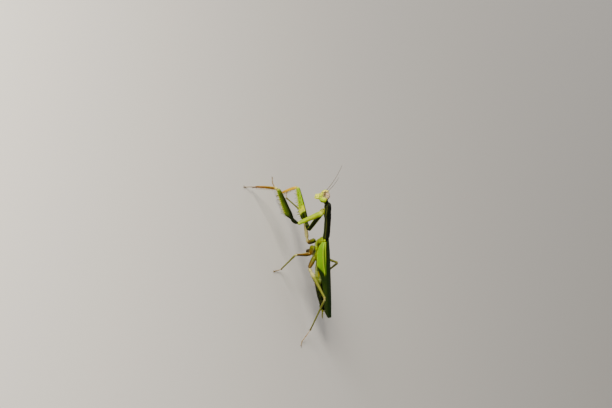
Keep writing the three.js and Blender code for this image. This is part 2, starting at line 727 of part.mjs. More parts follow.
/** Builds one leg of four pieces, each with room cut for the piece before it. */
function addLeg(name, leg) {
  const kind = name.split('_')[0];
  const shapes = KINDS[kind];
  const body = kind === 'front' ? front : trunk;
  const { hip, hinge, knee, ankle } = joints(leg, body);
  const towards = (from, to) => new THREE.Vector3().subVectors(to, from);
  const pieces = {
    coxa: along(hip, hinge, towards(hinge, knee)),
    femur: along(hinge, knee, towards(knee, ankle)),
    tibia: along(knee, ankle, towards(knee, hinge)),
  };
  const bodyShape = kind === 'front' ? pronotumShape(GAP) : thoraxShape(GAP);
  let before = { geometry: bodyShape, place: body.matrixWorld };
  for (const [piece, place] of Object.entries(pieces)) {
    const form = { ...shapes[piece], length: leg[piece].length };
    if (leg[piece].bend) form.bow = curve([0, 0], [BEND_AT, leg[piece].bend], [1, 0]);
    const extras = [];
    if (piece === 'tibia') extras.push(...shapes.spur(form.length));
    if (piece === 'femur' && kind === 'front') extras.push(...femurSpines(form));
    const geometry = clear(join(limb(form, 0), extras), place, [before]);
    const look = piece === 'tibia' && kind === 'front' ? 'shin' : 'leg';
    const mesh = addMesh(model, `${piece}_${name}`, geometry, look);
    mesh.applyMatrix4(place);
    before = { geometry: limb(form, GAP), place };
  }
  const footPlace = new THREE.Matrix4()
    .makeRotationZ(radians(leg.tarsus.heading))
    .setPosition(ankle.x, ankle.y, 0);
  const shin = model.getObjectByName(`tibia_${name}`);
  const room = [before, { geometry: shin.geometry, place: before.place }];
  const foot = clear(tarsusShape(leg.tarsus, leg.tibia.ankle), footPlace, room);
  addMesh(model, `tarsus_${name}`, foot, 'tarsus').applyMatrix4(footPlace);
}

for (const [name, leg] of Object.entries(LEGS)) addLeg(name, leg);

// ---- Origin: the middle of the footprint, on the floor -----------------------------------

mantis.updateMatrixWorld(true);
const extent = new THREE.Box3().setFromObject(model, true);
const middle = extent.getCenter(new THREE.Vector3());
model.position.set(-middle.x, -middle.y, -extent.min.z);
mantis.updateMatrixWorld(true);

export default mantis;
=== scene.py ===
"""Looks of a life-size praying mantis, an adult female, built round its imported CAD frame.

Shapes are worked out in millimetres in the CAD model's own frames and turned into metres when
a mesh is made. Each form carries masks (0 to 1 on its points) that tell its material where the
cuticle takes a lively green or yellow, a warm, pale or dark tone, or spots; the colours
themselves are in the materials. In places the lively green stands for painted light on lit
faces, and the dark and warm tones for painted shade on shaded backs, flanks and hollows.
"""

import math

import bmesh
import bpy
import numpy as np
from mathutils import Matrix, Vector


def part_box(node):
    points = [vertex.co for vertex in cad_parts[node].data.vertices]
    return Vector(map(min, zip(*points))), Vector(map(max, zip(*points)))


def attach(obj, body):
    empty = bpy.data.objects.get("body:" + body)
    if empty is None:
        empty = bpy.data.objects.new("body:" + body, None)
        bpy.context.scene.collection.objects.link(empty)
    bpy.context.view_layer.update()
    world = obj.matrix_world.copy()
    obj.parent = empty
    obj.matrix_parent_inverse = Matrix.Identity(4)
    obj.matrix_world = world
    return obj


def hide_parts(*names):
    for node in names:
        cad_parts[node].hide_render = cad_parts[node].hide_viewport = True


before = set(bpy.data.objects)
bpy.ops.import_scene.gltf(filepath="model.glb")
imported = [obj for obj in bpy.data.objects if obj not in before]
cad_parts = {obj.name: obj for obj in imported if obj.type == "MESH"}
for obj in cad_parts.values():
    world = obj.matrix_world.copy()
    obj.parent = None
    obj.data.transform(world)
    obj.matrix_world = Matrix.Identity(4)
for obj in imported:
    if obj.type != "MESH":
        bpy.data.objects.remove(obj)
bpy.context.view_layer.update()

MM = 0.001
TAU = 2 * math.pi
MASKS = ("fresh", "warm", "pale", "dark", "spot")
rng = np.random.default_rng(7)
HAIR_RADIUS = 0.014
HAIR_PATCH = 0.003  # how much of the unwrap one bristle covers
HAIR_CELLS = 8  # the sheet of unwraps has this many forms to a side
SIDES = (("left", 1), ("right", -1))  # her own sides; +X is her left

# ---- Driving dimensions, in millimetres and degrees, as in the CAD model ------------------

WING_THICKNESS, HINDWING_THICKNESS = 0.24, 0.16  # as shown, inside the CAD model's wings
BACK_HEIGHT = 22.8
TRUNK_PITCH = 17.2
PRONOTUM_PITCH = 22
PRONOTUM_LENGTH = 18.7
PRONOTUM_GROOVE = 13.2  # how far the cross groove lies from the shield's rear edge
MARGIN_TOOTH = 0.62  # from one tooth of the shield's margin to the next
THORAX_START = 0.3
ABDOMEN_START = 13.0
ABDOMEN_LENGTH = 27.4
ABDOMEN_SEGMENTS = 7
TRUNK_END = ABDOMEN_START + ABDOMEN_LENGTH
CERCUS_LENGTH = 4.4
WING_START, WING_LENGTH = 0.7, 43.8
HINDWING_START, HINDWING_LENGTH = 8.2, 42.0
HEAD_CENTRE = (0, -21.75, 27.35)
HEAD_TILT, HEAD_ROLL, HEAD_TURN = -3, 5, 15
HEAD_TOP = 3.6  # from the head's middle to its crown, and to its lower edge
EYE_CENTRE = (2.5, -0.1, 0.7)
EYE_RADII = (1.1, 1.4, 1.8)
EYE_LEAN = 14
ANTENNA_LENGTH = 21

# Each leg: its base in the pronotum's or the trunk's frame, then (length, heading, rise) of
# coxa and femur, (length, heading, ankle height) of the shin and (length, heading) of the foot.
# Heading 0 points to her left (+X) and 90 to her rear (+Y).
LEGS = {
    "front_left": ((1.7, -14, -3), (13.6, -9.5, -49.9), (20.3, -89, -8), (10.2, -65, 2.9), (8.6, -34)),
    "front_right": (
        (-1.7, -14, -3), (14.4, 88.3, -50.5), (20.9, -116.8, -3.3), (10.2, 76, 2.9), (8.6, -136)
    ),
    "middle_left": (
        (2.4, 3.5, -7.0), (4.6, 75, -30), (15.3, -31.6, -7.2), (11.7, 95, 1.1), (7.6, -26)
    ),
    "middle_right": ((-2.4, 3.5, -7.0), (4.8, 132, -66), (15, -135, -4), (12, -137, 1.7), (7.6, 176)),
    "hind_left": ((2.6, 9.2, -6.1), (6.5, 68, -40), (16.7, 54.7, 19.9), (19, 85, 3.5), (9.2, 13)),
    "hind_right": ((-2.6, 9.2, -6.1), (6, -173, -78.6), (18, 119, 34), (19, 113, 2.5), (9.2, 128)),
}
FEMUR_BENDS = {"front_left": 1.0}  # how far a femur bows to its spined side, at BEND_AT
BEND_AT = 0.15


# ---- Curves ------------------------------------------------------------------------------


def curve(*points):
    """A smooth function through (t, value) points that never swings past them."""
    ts, vs = np.array(points, float).T
    steps = np.diff(vs) / np.diff(ts)
    before, after = np.r_[steps[:1], steps], np.r_[steps, steps[-1:]]
    product = before * after
    slopes = np.where(product > 0, 2 * product / np.where(product > 0, before + after, 1), 0)

    def at(t):
        t = np.asarray(t, float)
        i = np.clip(np.searchsorted(ts, t) - 1, 0, len(ts) - 2)
        width = ts[i + 1] - ts[i]
        s = np.clip((t - ts[i]) / width, 0, 1)
        reach = vs[i] + (vs[i + 1] - vs[i]) * s * s * (3 - 2 * s)
        leave = s * (1 - s) ** 2 * width * slopes[i]
        return reach + leave + s * s * (s - 1) * width * slopes[i + 1]

    return at


def bezier(a, b, c):
    """A bent line from a to c, drawn towards b, as points at shares t."""
    a, b, c = (np.array(p, float) for p in (a, b, c))

    def at(t):
        t = np.asarray(t, float)[..., None]
        return a * (1 - t) ** 2 + 2 * b * t * (1 - t) + c * t * t

    return at


def ease(low, high, value):
    """0 below low, 1 above high and smooth between; low may be the larger of the two."""
    s = np.clip((np.asarray(value, float) - low) / (high - low), 0, 1)
    return s * s * (3 - 2 * s)


def ridge(distance, width):
    """1 on a line and falling off to its sides."""
    return np.exp(-((np.asarray(distance, float) / width) ** 2))


def ridges(value, width, *places):
    """Ridges of one width along several lines."""
    return sum(ridge(value - place, width) for place in places)


def dome(t, reach):
    """How far a rounded end has opened at a distance t from it."""
    s = np.clip(np.asarray(t, float) / reach, 0, 1)
    return np.maximum(np.sqrt(np.maximum(1 - (1 - s) ** 2, 0)), 0.02)


def capped(t, end, near, far):
    """How far a form is open at t where its ends round off over near, at 0, and far, at end."""
    return np.minimum(dome(t, near), dome(end - t, far))


def crowded(count, share=0.85):
    """A column of shares from 0 to 1 that lie closer together at both ends."""
    w = np.linspace(0, 1, count)
    return (w - share * np.sin(TAU * w) / TAU)[:, None]


def angles(columns):
    """A row of angles round a section, from its +X side."""
    return (np.arange(columns) / columns * TAU)[None, :]


def power_wave(angle, power):
    """Cosine and sine of a section that is boxier than a circle where power is over 2."""
    c, s = np.cos(angle), np.sin(angle)
    return np.sign(c) * np.abs(c) ** (2 / power), np.sign(s) * np.abs(s) ** (2 / power)


# ---- Forms: points, faces and masks --------------------------------------------------------


def unit(vectors):
    """The same directions with length 1."""
    return vectors / (np.linalg.norm(vectors, axis=-1, keepdims=True) + 1e-12)


def volume(points, faces):
    """The volume inside a closed form, below zero where its faces point in."""
    total = 0.0
    for block in faces:
        for k in range(1, block.shape[1] - 1):
            a, b, c = points[block[:, 0]], points[block[:, k]], points[block[:, k + 1]]
            total += np.einsum("ij,ij->", a, np.cross(b, c)) / 6
    return total


def form(points, faces, masks):
    """A closed form, its faces turned outward; masks are numbers or one value for each point."""
    points = points.reshape(-1, 3)
    if volume(points, faces) < 0:
        faces = [block[:, ::-1] for block in faces]
    filled = {name: np.zeros(len(points)) + masks.get(name, 0.0) for name in MASKS}
    return {"points": points, "faces": faces, "masks": filled}


def grid(x, y, z):
    """A grid of points, rows along a form and columns round it; a part may be a row or a column."""
    return np.stack(np.broadcast_arrays(x, y, z), -1)


def grid_faces(rows, columns, wrap=True):
    """Four-sided faces between a grid's points, closed round its columns where wrap is set."""
    i, k = np.meshgrid(np.arange(rows - 1), np.arange(columns - (not wrap)), indexing="ij")
    a, b = i * columns + k, i * columns + (k + 1) % columns
    return np.stack([a, b, b + columns, a + columns], -1).reshape(-1, 4)


def outward(rings):
    """Unit normals of a grid of rings, pointing out."""
    along = np.gradient(rings, axis=0)
    across = np.roll(rings, -1, 1) - np.roll(rings, 1, 1)
    normal = unit(np.cross(across, along))
    away = rings - rings.mean(1, keepdims=True)
    return normal * np.sign((away * normal).sum())


def loft(rings, masks, relief=None):
    """A closed form through rings that relief moves out, its two ends closed by fans."""
    if relief is not None:
        rings = rings + outward(rings) * relief[..., None]
    rows, columns, _ = rings.shape
    first = rows * columns
    k = np.arange(columns)
    after, last = (k + 1) % columns, first - columns
    fans = [
        np.stack([after, k, np.full(columns, first)], -1),
        np.stack([last + k, last + after, np.full(columns, first + 1)], -1),
    ]
    points = np.vstack([rings.reshape(-1, 3), rings[0].mean(0), rings[-1].mean(0)])
    full = {}
    for name, mask in masks.items():
        mask = np.clip(np.broadcast_to(mask, (rows, columns)), 0, 1)
        full[name] = np.r_[mask.reshape(-1), mask[0].mean(), mask[-1].mean()]
    made = form(points, [grid_faces(rows, columns), np.vstack(fans)], full)
    made["grid"] = rows, columns
    return made


def limb(length, inner, outer=None, side=None, bow=None, rows=64, columns=28, reach=0.9):
    """Rings of a limb's piece along +Z; +X is the inside of its bend.

    They come with each point's share of the length, its angle round the limb from +X, and how
    far round that is whichever way it goes.
    """
    outer, side = outer or inner, side or inner
    share, angle = crowded(rows), angles(columns)
    z = share * length
    opened = capped(z, length, reach, reach)
    x = np.where(np.cos(angle) > 0, inner(share), outer(share)) * np.cos(angle) * opened
    if bow:
        x = x + bow(share)
    rings = grid(x, side(share) * np.sin(angle) * opened, z)
    share, angle = np.broadcast_arrays(share, np.angle(np.exp(1j * angle)))
    return rings, share, angle, np.abs(angle)


def tube_rings(path, radius, rows, columns):
    """Rings along a path; radius is a function of the share of its length."""
    t = np.linspace(0, 1, rows)
    centre = path(t)
    along = unit(np.gradient(centre, axis=0))
    normal = np.cross(along[0], (0.3, 0.9, 0.2))
    angle = angles(columns)[0]
    rings = []
    for i in range(rows):
        normal = unit(normal - along[i] * (normal @ along[i]))
        other = np.cross(along[i], normal)
        spoke = np.outer(np.cos(angle), normal) + np.outer(np.sin(angle), other)
        rings.append(centre[i] + spoke * radius(t[i]))
    return np.array(rings), t[:, None]


def tube(path, radius, rows, columns, paint):
    """A closed tube; paint(share) gives its masks."""
    rings, share = tube_rings(path, radius, rows, columns)
    return loft(rings, paint(share))


def thorn(root, way, reach, radius, hook=(0, 0, 0), pale=0.5, rows=9, columns=8):
    """A curved spine with a swollen root and a dark point."""
    root, way = np.array(root, float), unit(np.array(way, float))
    bend = root + way * reach * 0.55 + np.array(hook)
    path = bezier(root - way * 0.15, bend, root + way * reach)
    size = curve((0, 1.35 * radius), (0.16, radius), (0.6, 0.62 * radius), (1, 0.06 * radius))
    return tube(path, size, rows, columns, lambda t: {"pale": pale * (1 - t), "dark": ease(0.5, 0.9, t)})


def ball(centre, radii, masks, rows=16, columns=22):
    """An egg with its poles on the Z axis."""
    polar, angle = np.linspace(0.04, math.pi - 0.04, rows)[:, None], angles(columns)
    sphere = grid(np.sin(polar) * np.cos(angle), np.sin(polar) * np.sin(angle), np.cos(polar))
    return loft(sphere * radii + centre, masks)


def hairs(host, number, count, reach, lean=0.9, low=0.0, high=1.0):
    """Fine bristles on a form's surface, each with a small patch of its own on the form's unwrap.

    number is the form's cell on the sheet of unwraps; low and high bound the shares of its
    length that carry hair; lean is how far the bristles lie along it.
    """
    rows, columns = host["grid"]
    rings = host["points"][: rows * columns].reshape(rows, columns, 3)
    normals, along = outward(rings), unit(np.gradient(rings, axis=0))
    i = np.clip((low + (high - low) * rng.random(count)) * rows, 1, rows - 2).astype(int)
    k = rng.integers(0, columns, count)
    root, normal, ahead = rings[i, k], normals[i, k], along[i, k]
    side = np.cross(normal, ahead)
    way = unit(normal + ahead * lean + side * rng.normal(0, 0.2, (count, 1)))
    size = reach * rng.uniform(0.6, 1.2, (count, 1))
    steps, sides = (0.0, 0.5, 1.0), 3
    points, patches = [], []
    cell = np.array((number % HAIR_CELLS, number // HAIR_CELLS))
    middle = (cell + 0.05 + 0.9 * np.stack([i / rows, k / columns], -1)) / HAIR_CELLS
    for step in steps:
        centre = root - normal * 0.03 + way * size * step + ahead * size * 0.25 * step**2
        for turn in angles(sides)[0]:
            spoke = (side * math.cos(turn) + np.cross(way, side) * math.sin(turn)) * HAIR_RADIUS
            points.append(centre + spoke * (1.0 - 0.85 * step))
            patches.append(middle + HAIR_PATCH * np.array((step - 0.5, turn / TAU - 0.5)))
    points = np.stack(points, 1)
    points[..., 2] = np.maximum(points[..., 2], HAIR_RADIUS)  # no bristle goes under the floor
    last = (len(steps) - 1) * sides
    start = (np.arange(count) * len(steps) * sides)[:, None, None]
    faces = (start + grid_faces(len(steps), sides)).reshape(-1, 4)
    caps = (start + np.array([[2, 1, 0], [last, last + 1, last + 2]])).reshape(-1, 3)
    made = form(points, [faces, caps], {"pale": 0.4})
    made["unwrap"] = np.stack(patches, 1).reshape(-1, 2)
    return made


def placed(made, matrix):
    """The form set in its place by a frame."""
    matrix = np.array(matrix)
    return {**made, "points": made["points"] @ matrix[:3, :3].T + matrix[:3, 3]}


def piece(name, forms, material, nodes):
    """One mesh from several forms, in metres, which stands for the CAD nodes named."""
    mesh = bpy.data.meshes.new(name)
    faces, start = [], 0
    for made in forms:
        for block in made["faces"]:
            faces += (block + start).tolist()
        start += len(made["points"])
    mesh.from_pydata(np.vstack([made["points"] for made in forms]) * MM, [], faces)
    for mask in MASKS:
        attribute = mesh.attributes.new(mask, "FLOAT", "POINT")
        values = np.concatenate([made["masks"][mask] for made in forms])
        attribute.data.foreach_set("value", np.clip(values, 0, 1))
    if all("unwrap" in made for made in forms):
        unwrap = np.vstack([made["unwrap"] for made in forms])
        corners = np.empty(len(mesh.loops), np.int32)
        mesh.loops.foreach_get("vertex_index", corners)
        mesh.uv_layers.new(name="OFBake").data.foreach_set("uv", unwrap[corners].reshape(-1))
    mesh.shade_smooth()
    mesh.materials.append(material)
    obj = bpy.data.objects.new(name, mesh)
    bpy.context.collection.objects.link(obj)
    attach(obj, "root")
    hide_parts(*nodes)
    return obj


# ---- Frames --------------------------------------------------------------------------------


def frame_at(point, pitch, roll=0, turn=0):
    """A frame at a point, rolled, pitched and then turned by degrees about Y, X and Z."""
    spin = (
        Matrix.Rotation(math.radians(turn), 4, "Z")
        @ Matrix.Rotation(math.radians(pitch), 4, "X")
        @ Matrix.Rotation(math.radians(roll), 4, "Y")
    )
    return Matrix.Translation(point) @ spin


def direction(heading, rise):
    """A unit vector from a heading and a rise in degrees."""
    heading, rise = math.radians(heading), math.radians(rise)
    level = math.cos(rise)
    return Vector((level * math.cos(heading), level * math.sin(heading), math.sin(rise)))


def eye_frame(sign):
    """An eye's frame in the head's."""
    centre = Vector((sign * EYE_CENTRE[0], *EYE_CENTRE[1:]))
    return Matrix.Translation(centre) @ Matrix.Rotation(math.radians(sign * EYE_LEAN), 4, "Y")


def model_shift():
    """The CAD model is centred on its footprint: how far that moved it, read off an eye."""
    low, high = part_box("eye_left")
    return (low + high) / 2 / MM - (HEAD_PLACE @ eye_frame(1)).translation


HEAD_PLACE = frame_at(HEAD_CENTRE, HEAD_TILT, HEAD_ROLL, HEAD_TURN)
SHIFT = Matrix.Translation(model_shift())
TRUNK = SHIFT @ frame_at((0, 0, BACK_HEIGHT), -TRUNK_PITCH)
FRONT = SHIFT @ frame_at((0, 0, BACK_HEIGHT), -PRONOTUM_PITCH)
SKULL = SHIFT @ HEAD_PLACE


# ---- Materials -----------------------------------------------------------------------------

GLOSS = (0.9, 1.0, 0.45, 1)  # gloss on green cuticle stays greenish
BUMP_HEIGHT = 0.00003  # metres
MOTTLE, WRINKLES, WING_MOTTLE, EYE_CLOUD = (900, 5), (3800, 3), (420, 4), (700, 3)  # scale and detail
PITS = 7000  # to a metre
BARE_TINT = 0x0C0A04  # where a mask is given no colour of its own
PUPIL_TINT = 0x16120A  # the same in the eyes, whose one spot is the false pupil


def add(tree, kind, inputs=None, **settings):
    """A shader node; an input is a value or another node's socket."""
    node = tree.nodes.new("ShaderNode" + kind)
    for key, value in settings.items():
        setattr(node, key, value)
    for key, value in (inputs or {}).items():
        if isinstance(value, bpy.types.NodeSocket):
            tree.links.new(value, node.inputs[key])
        else:
            node.inputs[key].default_value = value
    return node


def times(tree, socket, factor, **settings):
    """A socket's value multiplied by a number or by another socket."""
    return add(tree, "Math", {0: socket, 1: factor}, operation="MULTIPLY", **settings).outputs[0]


def blend(tree, factor, a, b):
    """A colour that goes from a to b as factor goes from 0 to 1."""
    return add(tree, "Mix", {0: factor, 6: a, 7: b}, data_type="RGBA").outputs[2]


def scaled(tree, socket, low, high, to_low=0.0, to_high=1.0):
    """A socket's value brought from one range to another."""
    limits = {"From Min": low, "From Max": high, "To Min": to_low, "To Max": to_high}
    return add(tree, "MapRange", {"Value": socket, **limits}).outputs[0]


def noise(tree, place, scale, detail):
    """Cloudy noise on a place socket."""
    return add(tree, "TexNoise", {"Vector": place, "Scale": scale, "Detail": detail}).outputs[0]


def linear(code):
    """A colour code such as 0x88AA22 as linear RGBA."""
    parts = [(code >> shift & 255) / 255 for shift in (16, 8, 0)]
    return [p / 12.92 if p < 0.04045 else ((p + 0.055) / 1.055) ** 2.4 for p in parts] + [1]


def shaded(colour, factor):
    """A lighter or darker colour."""
    return [min(1, c * factor) for c in colour[:3]] + [1]


def mask_of(tree, name):
    """The socket that carries a mask."""
    return add(tree, "Attribute", attribute_name=name).outputs["Fac"]


def new_material(name, shine):
    """A material with greenish gloss, and its node tree, shader and place socket."""
    material = bpy.data.materials.new(name)
    material.use_nodes = True
    tree = material.node_tree
    shader = tree.nodes["Principled BSDF"]
    shader.inputs["Specular IOR Level"].default_value = shine
    shader.inputs["Specular Tint"].default_value = GLOSS
    return material, tree, shader, add(tree, "TexCoord").outputs["Object"]


def surfaced(tree, shader, colour, height, strength, mottle, smooth, rough):
    """Gives a shader its colour, its bump and a mottled roughness."""
    tree.links.new(colour, shader.inputs["Base Color"])
    bump = add(tree, "Bump", {"Height": height, "Strength": strength, "Distance": BUMP_HEIGHT})
    tree.links.new(bump.outputs[0], shader.inputs["Normal"])
    tree.links.new(scaled(tree, mottle, 0.3, 0.7, smooth, rough), shader.inputs["Roughness"])


def cuticle(name, base, shine=0.3, **tints):
    """Insect cuticle: mottled, finely pitted and wrinkled, tinted by the masks."""
    material, tree, shader, place = new_material(name, shine)
    mottle, wrinkle = noise(tree, place, *MOTTLE), noise(tree, place, *WRINKLES)
    pits = {"Vector": place, "Scale": PITS}
    grains = add(tree, "TexVoronoi", pits, feature="SMOOTH_F1").outputs[0]
    base = linear(base)
    colour = blend(tree, scaled(tree, mottle, 0.3, 0.7), shaded(base, 0.66), shaded(base, 1.3))
    wobble = scaled(tree, mottle, 0.3, 0.7, 0.8, 1.2)
    for mask in MASKS:
        strength = times(tree, mask_of(tree, mask), wobble, use_clamp=True)
        tint = linear(tints.get(mask, BARE_TINT))
        veiled = blend(tree, scaled(tree, wrinkle, 0.35, 0.65), shaded(tint, 0.8), tint)
        colour = blend(tree, strength, colour, veiled)
    fine = scaled(tree, grains, 0.0, 0.5)
    height = add(tree, "Math", {0: fine, 1: wrinkle}, operation="ADD").outputs[0]
    surfaced(tree, shader, colour, height, 0.35, mottle, 0.37, 0.57)
    return material


def wing_skin(name, base, cell, net, shine=0.3, **tints):
    """Wing membrane: a net of fine cross-veins between the modelled long veins."""
    material, tree, shader, place = new_material(name, shine)
    flat = add(tree, "Attribute", attribute_name="flat").outputs["Vector"]
    cells = {"Vector": flat, "Scale": 1 / cell}
    gaps = add(tree, "TexVoronoi", cells, feature="DISTANCE_TO_EDGE").outputs[0]
    lines = scaled(tree, gaps, 0.0, 0.16, 1.0, 0.0)
    mottle = noise(tree, place, *WING_MOTTLE)
    base = linear(base)
    colour = blend(tree, scaled(tree, mottle, 0.3, 0.7), shaded(base, 0.7), shaded(base, 1.3))
    for mask, tint in tints.items():
        colour = blend(tree, mask_of(tree, mask), colour, linear(tint))
    colour = blend(tree, times(tree, lines, 0.3), colour, linear(net))
    surfaced(tree, shader, colour, lines, 0.38, mottle, 0.36, 0.52)
    return material


def eye_glass(name, base, **tints):
    """The clear skin over an eye's facets: a little cloudy, under a thin coat of gloss."""
    material, tree, shader, place = new_material(name, 0.2)
    cloud = scaled(tree, noise(tree, place, *EYE_CLOUD), 0.35, 0.65)
    base = linear(base)
    colour = blend(tree, cloud, shaded(base, 0.8), base)
    for mask in MASKS:
        colour = blend(tree, mask_of(tree, mask), colour, linear(tints.get(mask, PUPIL_TINT)))
    tree.links.new(colour, shader.inputs["Base Color"])
    shader.inputs["Roughness"].default_value = 0.34
    shader.inputs["Coat Weight"].default_value = 0.08
    shader.inputs["Coat Roughness"].default_value = 0.15
    return material


LEG_SKIN = cuticle(
    "leg_cuticle", 0x4A4608, 0.14, fresh=0x626A04, warm=0x744808, pale=0xB2AA6C, dark=0x12160A
)
# The dark olive base of the outer faces and the dark tint at roots, rear edges and grooves are painted
# shade; the lime tint of the inner faces is partly painted light.
FRONT_LEG_SKIN = cuticle(
    "front_leg_cuticle", 0x2E3C0A, 0.1, fresh=0x769600, warm=0xB4B800, pale=0xBCC048, dark=0x0C1204
)
SHIN_SKIN = cuticle(
    "shin_cuticle", 0x644204, 0.14, fresh=0xC09400, warm=0x6E2E04, pale=0xC8C068, dark=0x2C1206
)
FOOT_SKIN = cuticle("foot_cuticle", 0x8A6A34, warm=0x985A20, pale=0xC4AA70, dark=0x38240E)
# The dark tint paints shade on the back of the head, in its grooves and round the eyes, besides the
# mandibles' dark points.
HEAD_SKIN = cuticle(
    "head_cuticle", 0x9CA400, 0.2, fresh=0x769600, warm=0xB49684, pale=0xDCE24C, dark=0x1C200A
)
# The near-black base and dark tint are painted shade on the shield's back and flanks; its lighter green and
# pale lower edge are partly painted light.
PRONOTUM_SKIN = cuticle(
    "pronotum_cuticle", 0x0F180A, 0.16, fresh=0x5C7C0C, warm=0x2C2C0E, pale=0xA8AC30, dark=0x090E06
)
# The dark tint is mostly painted shade on the back and rear of the trunk, the neck, the plate between the
# wings and the tail plates; the warm and pale tints also paint patches of light on the abdomen's flank.
BODY_SKIN = cuticle(
    "body_cuticle", 0x6A7A04, 0.12, fresh=0x86A000, warm=0xB09A00, pale=0xAEB870, dark=0x0C1204
)
ANTENNA_SKIN = cuticle("antenna_cuticle", 0x8A7A34, warm=0x6C4A1C, pale=0xB4AC58, dark=0x35230F)
SETA_SKIN = cuticle("seta", 0x8A8048, pale=0xC8C490, dark=0x3A3018)
# The near-black base and the dark and warm tints are painted shade on the wing's back and on its front
# field past the shadow's edge; the lime tint is the sunlit front field, partly its own lighter green.
TEGMEN_SKIN = wing_skin(
    "tegmen_skin", 0x14280A, 0.36, 0x3C6410, 0.12,
    fresh=0x70A200, warm=0x222C0C, dark=0x081206, pale=0xC4D420,
)
# Its pale and dark tints paint light and shade on the hindwing's pleats.
HINDWING_SKIN = wing_skin(
    "hindwing_skin", 0x5A5E30, 0.5, 0x84865C,
    fresh=0x8C9850, warm=0x8A7A4A, dark=0x242A12, pale=0x8C8E5C,
)
# The pale cream tint paints a highlight, mostly on the far eye, and the dark tint paints shade on the back
# of each eye.
EYE_GLASS = eye_glass("eye_glass", 0x98B200, fresh=0x86AA00, pale=0xFFE070, dark=0x2C3404)
OCELLUS_GLASS = eye_glass("ocellus_glass", 0xA06A2A, pale=0xD8B070)


# ---- Camera, floor and light ---------------------------------------------------------------

VIEW_RISE = 19.5  # degrees above the floor
VIEW_SWING = 27.27  # degrees from her left side towards her head
VIEW_ROLL = 10.86
LENS, SENSOR_WIDTH = 300.0, 36.0
CLIP_NEAR, CLIP_FAR = 0.05, 20.0  # metres
VIEW_DISTANCE = 2.39  # metres
VIEW_TARGET = (-17.37, 14.19)  # millimetres along her sideways line in view and up
FLOOR_REACH = 6.0  # metres
FLOOR_COLOUR, FLOOR_ROUGHNESS = 0xD9D4CC, 0.85
SKY_COLOUR, SKY_STRENGTH = (0.97, 0.97, 0.96, 1), 0.16
# Name, place in metres, power, size and colour of each lamp, and where they all point.
LAMPS = (
    ("key", (0.35, -0.75, 0.30), 18, 0.35, (1.0, 0.95, 0.86)),
    ("fill", (0.9, 0.3, 0.32), 2.6, 0.8, (0.97, 0.98, 1.0)),
    ("far_side", (-0.85, -0.25, 0.4), 4, 0.9, (0.98, 0.98, 1.0)),
)
LAMP_TARGET = Vector((0, 0, 0.015))


def photo_view():
    """The camera's axes, right, up and back, and the point that it looks at."""
    rise, swing, roll = (math.radians(a) for a in (VIEW_RISE, VIEW_SWING, VIEW_ROLL))
    level = Vector((math.cos(swing), -math.sin(swing), 0))
    rear = Vector((math.sin(swing), math.cos(swing), 0))
    up = Vector((0, 0, 1)) * math.cos(rise) - level * math.sin(rise)
    back = level * math.cos(rise) + Vector((0, 0, 1)) * math.sin(rise)
    right = rear * math.sin(roll) + up * math.cos(roll)
    top = up * math.sin(roll) - rear * math.cos(roll)
    target = rear * VIEW_TARGET[0] + up * VIEW_TARGET[1] + SHIFT.translation
    return right, top, back, target * MM


def add_camera():
    """The camera, far off with a long lens."""
    right, top, back, target = photo_view()
    lens = bpy.data.cameras.new("camera")
    lens.lens, lens.sensor_width = LENS, SENSOR_WIDTH
    lens.clip_start, lens.clip_end = CLIP_NEAR, CLIP_FAR
    camera = bpy.data.objects.new("camera", lens)
    turn = Matrix((right, top, back)).transposed().to_4x4()
    camera.matrix_world = Matrix.Translation(target + back * VIEW_DISTANCE) @ turn
    bpy.context.collection.objects.link(camera)
    bpy.context.scene.camera = camera


def add_lamp(name, position, power, size, colour):
    """A square lamp turned to the model's middle."""
    lamp = bpy.data.lights.new(name, "AREA")
    lamp.energy, lamp.size, lamp.color = power, size, colour
    obj = bpy.data.objects.new(name, lamp)
    obj.location = position
    towards = LAMP_TARGET - obj.location
    obj.rotation_euler = towards.to_track_quat("-Z", "Y").to_euler()
    bpy.context.collection.objects.link(obj)


def add_stage():
    """A plain floor and a pale sky."""
    material = bpy.data.materials.new("floor_plain")
    material.use_nodes = True
    shader = material.node_tree.nodes["Principled BSDF"]
    shader.inputs["Base Color"].default_value = linear(FLOOR_COLOUR)
    shader.inputs["Roughness"].default_value = FLOOR_ROUGHNESS
    mesh = bpy.data.meshes.new("floor")
    corners = [(x * FLOOR_REACH, y * FLOOR_REACH, 0) for x, y in ((-1, -1), (1, -1), (1, 1), (-1, 1))]
    mesh.from_pydata(corners, [], [(0, 1, 2, 3)])
    mesh.materials.append(material)
    floor = bpy.data.objects.new("floor", mesh)
    bpy.context.collection.objects.link(floor)
    world = bpy.data.worlds.new("studio")
    world.use_nodes = True
    background = world.node_tree.nodes["Background"]
    background.inputs["Color"].default_value = SKY_COLOUR
    background.inputs["Strength"].default_value = SKY_STRENGTH
    bpy.context.scene.world = world


add_camera()
add_stage()
for lamp in LAMPS:
    add_lamp(*lamp)


# ---- Head ----------------------------------------------------------------------------------

HEAD_HALF = curve(
    (-3.6, 0.6), (-2.8, 1.1), (-1.7, 1.4), (-0.3, 2.3), (1.1, 2.9), (2.6, 2.2), (3.6, 1.1)
)
HEAD_FACE = curve((-3.6, 0.5), (-2.6, 1.0), (-1.2, 1.4), (0.4, 1.65), (2.2, 1.35), (3.6, 0.5))
HEAD_NAPE = curve((-3.6, 0.4), (-2.6, 0.7), (-1.2, 1.1), (0.8, 1.5), (2.4, 1.25), (3.6, 0.5))
HEAD_POWER = 2.3
ANTENNA_ROOT = (0.75, 0.62)  # across and up from the middle of the face
SHIELD, CLYPEUS = (-0.35, 1.15, 0.52), (-1.45, 1.12, 0.42)  # middle up, half width, half height
SEAM_ABOVE, SEAM_BELOW = -1.0, -1.95  # where the face's cross seams lie round the clypeus
CROWN_LINES = (0.62, 1.45)  # how far out the crown's grooves run
OCELLI = ((0, 1.52), (0.42, 2.0), (-0.42, 2.0))
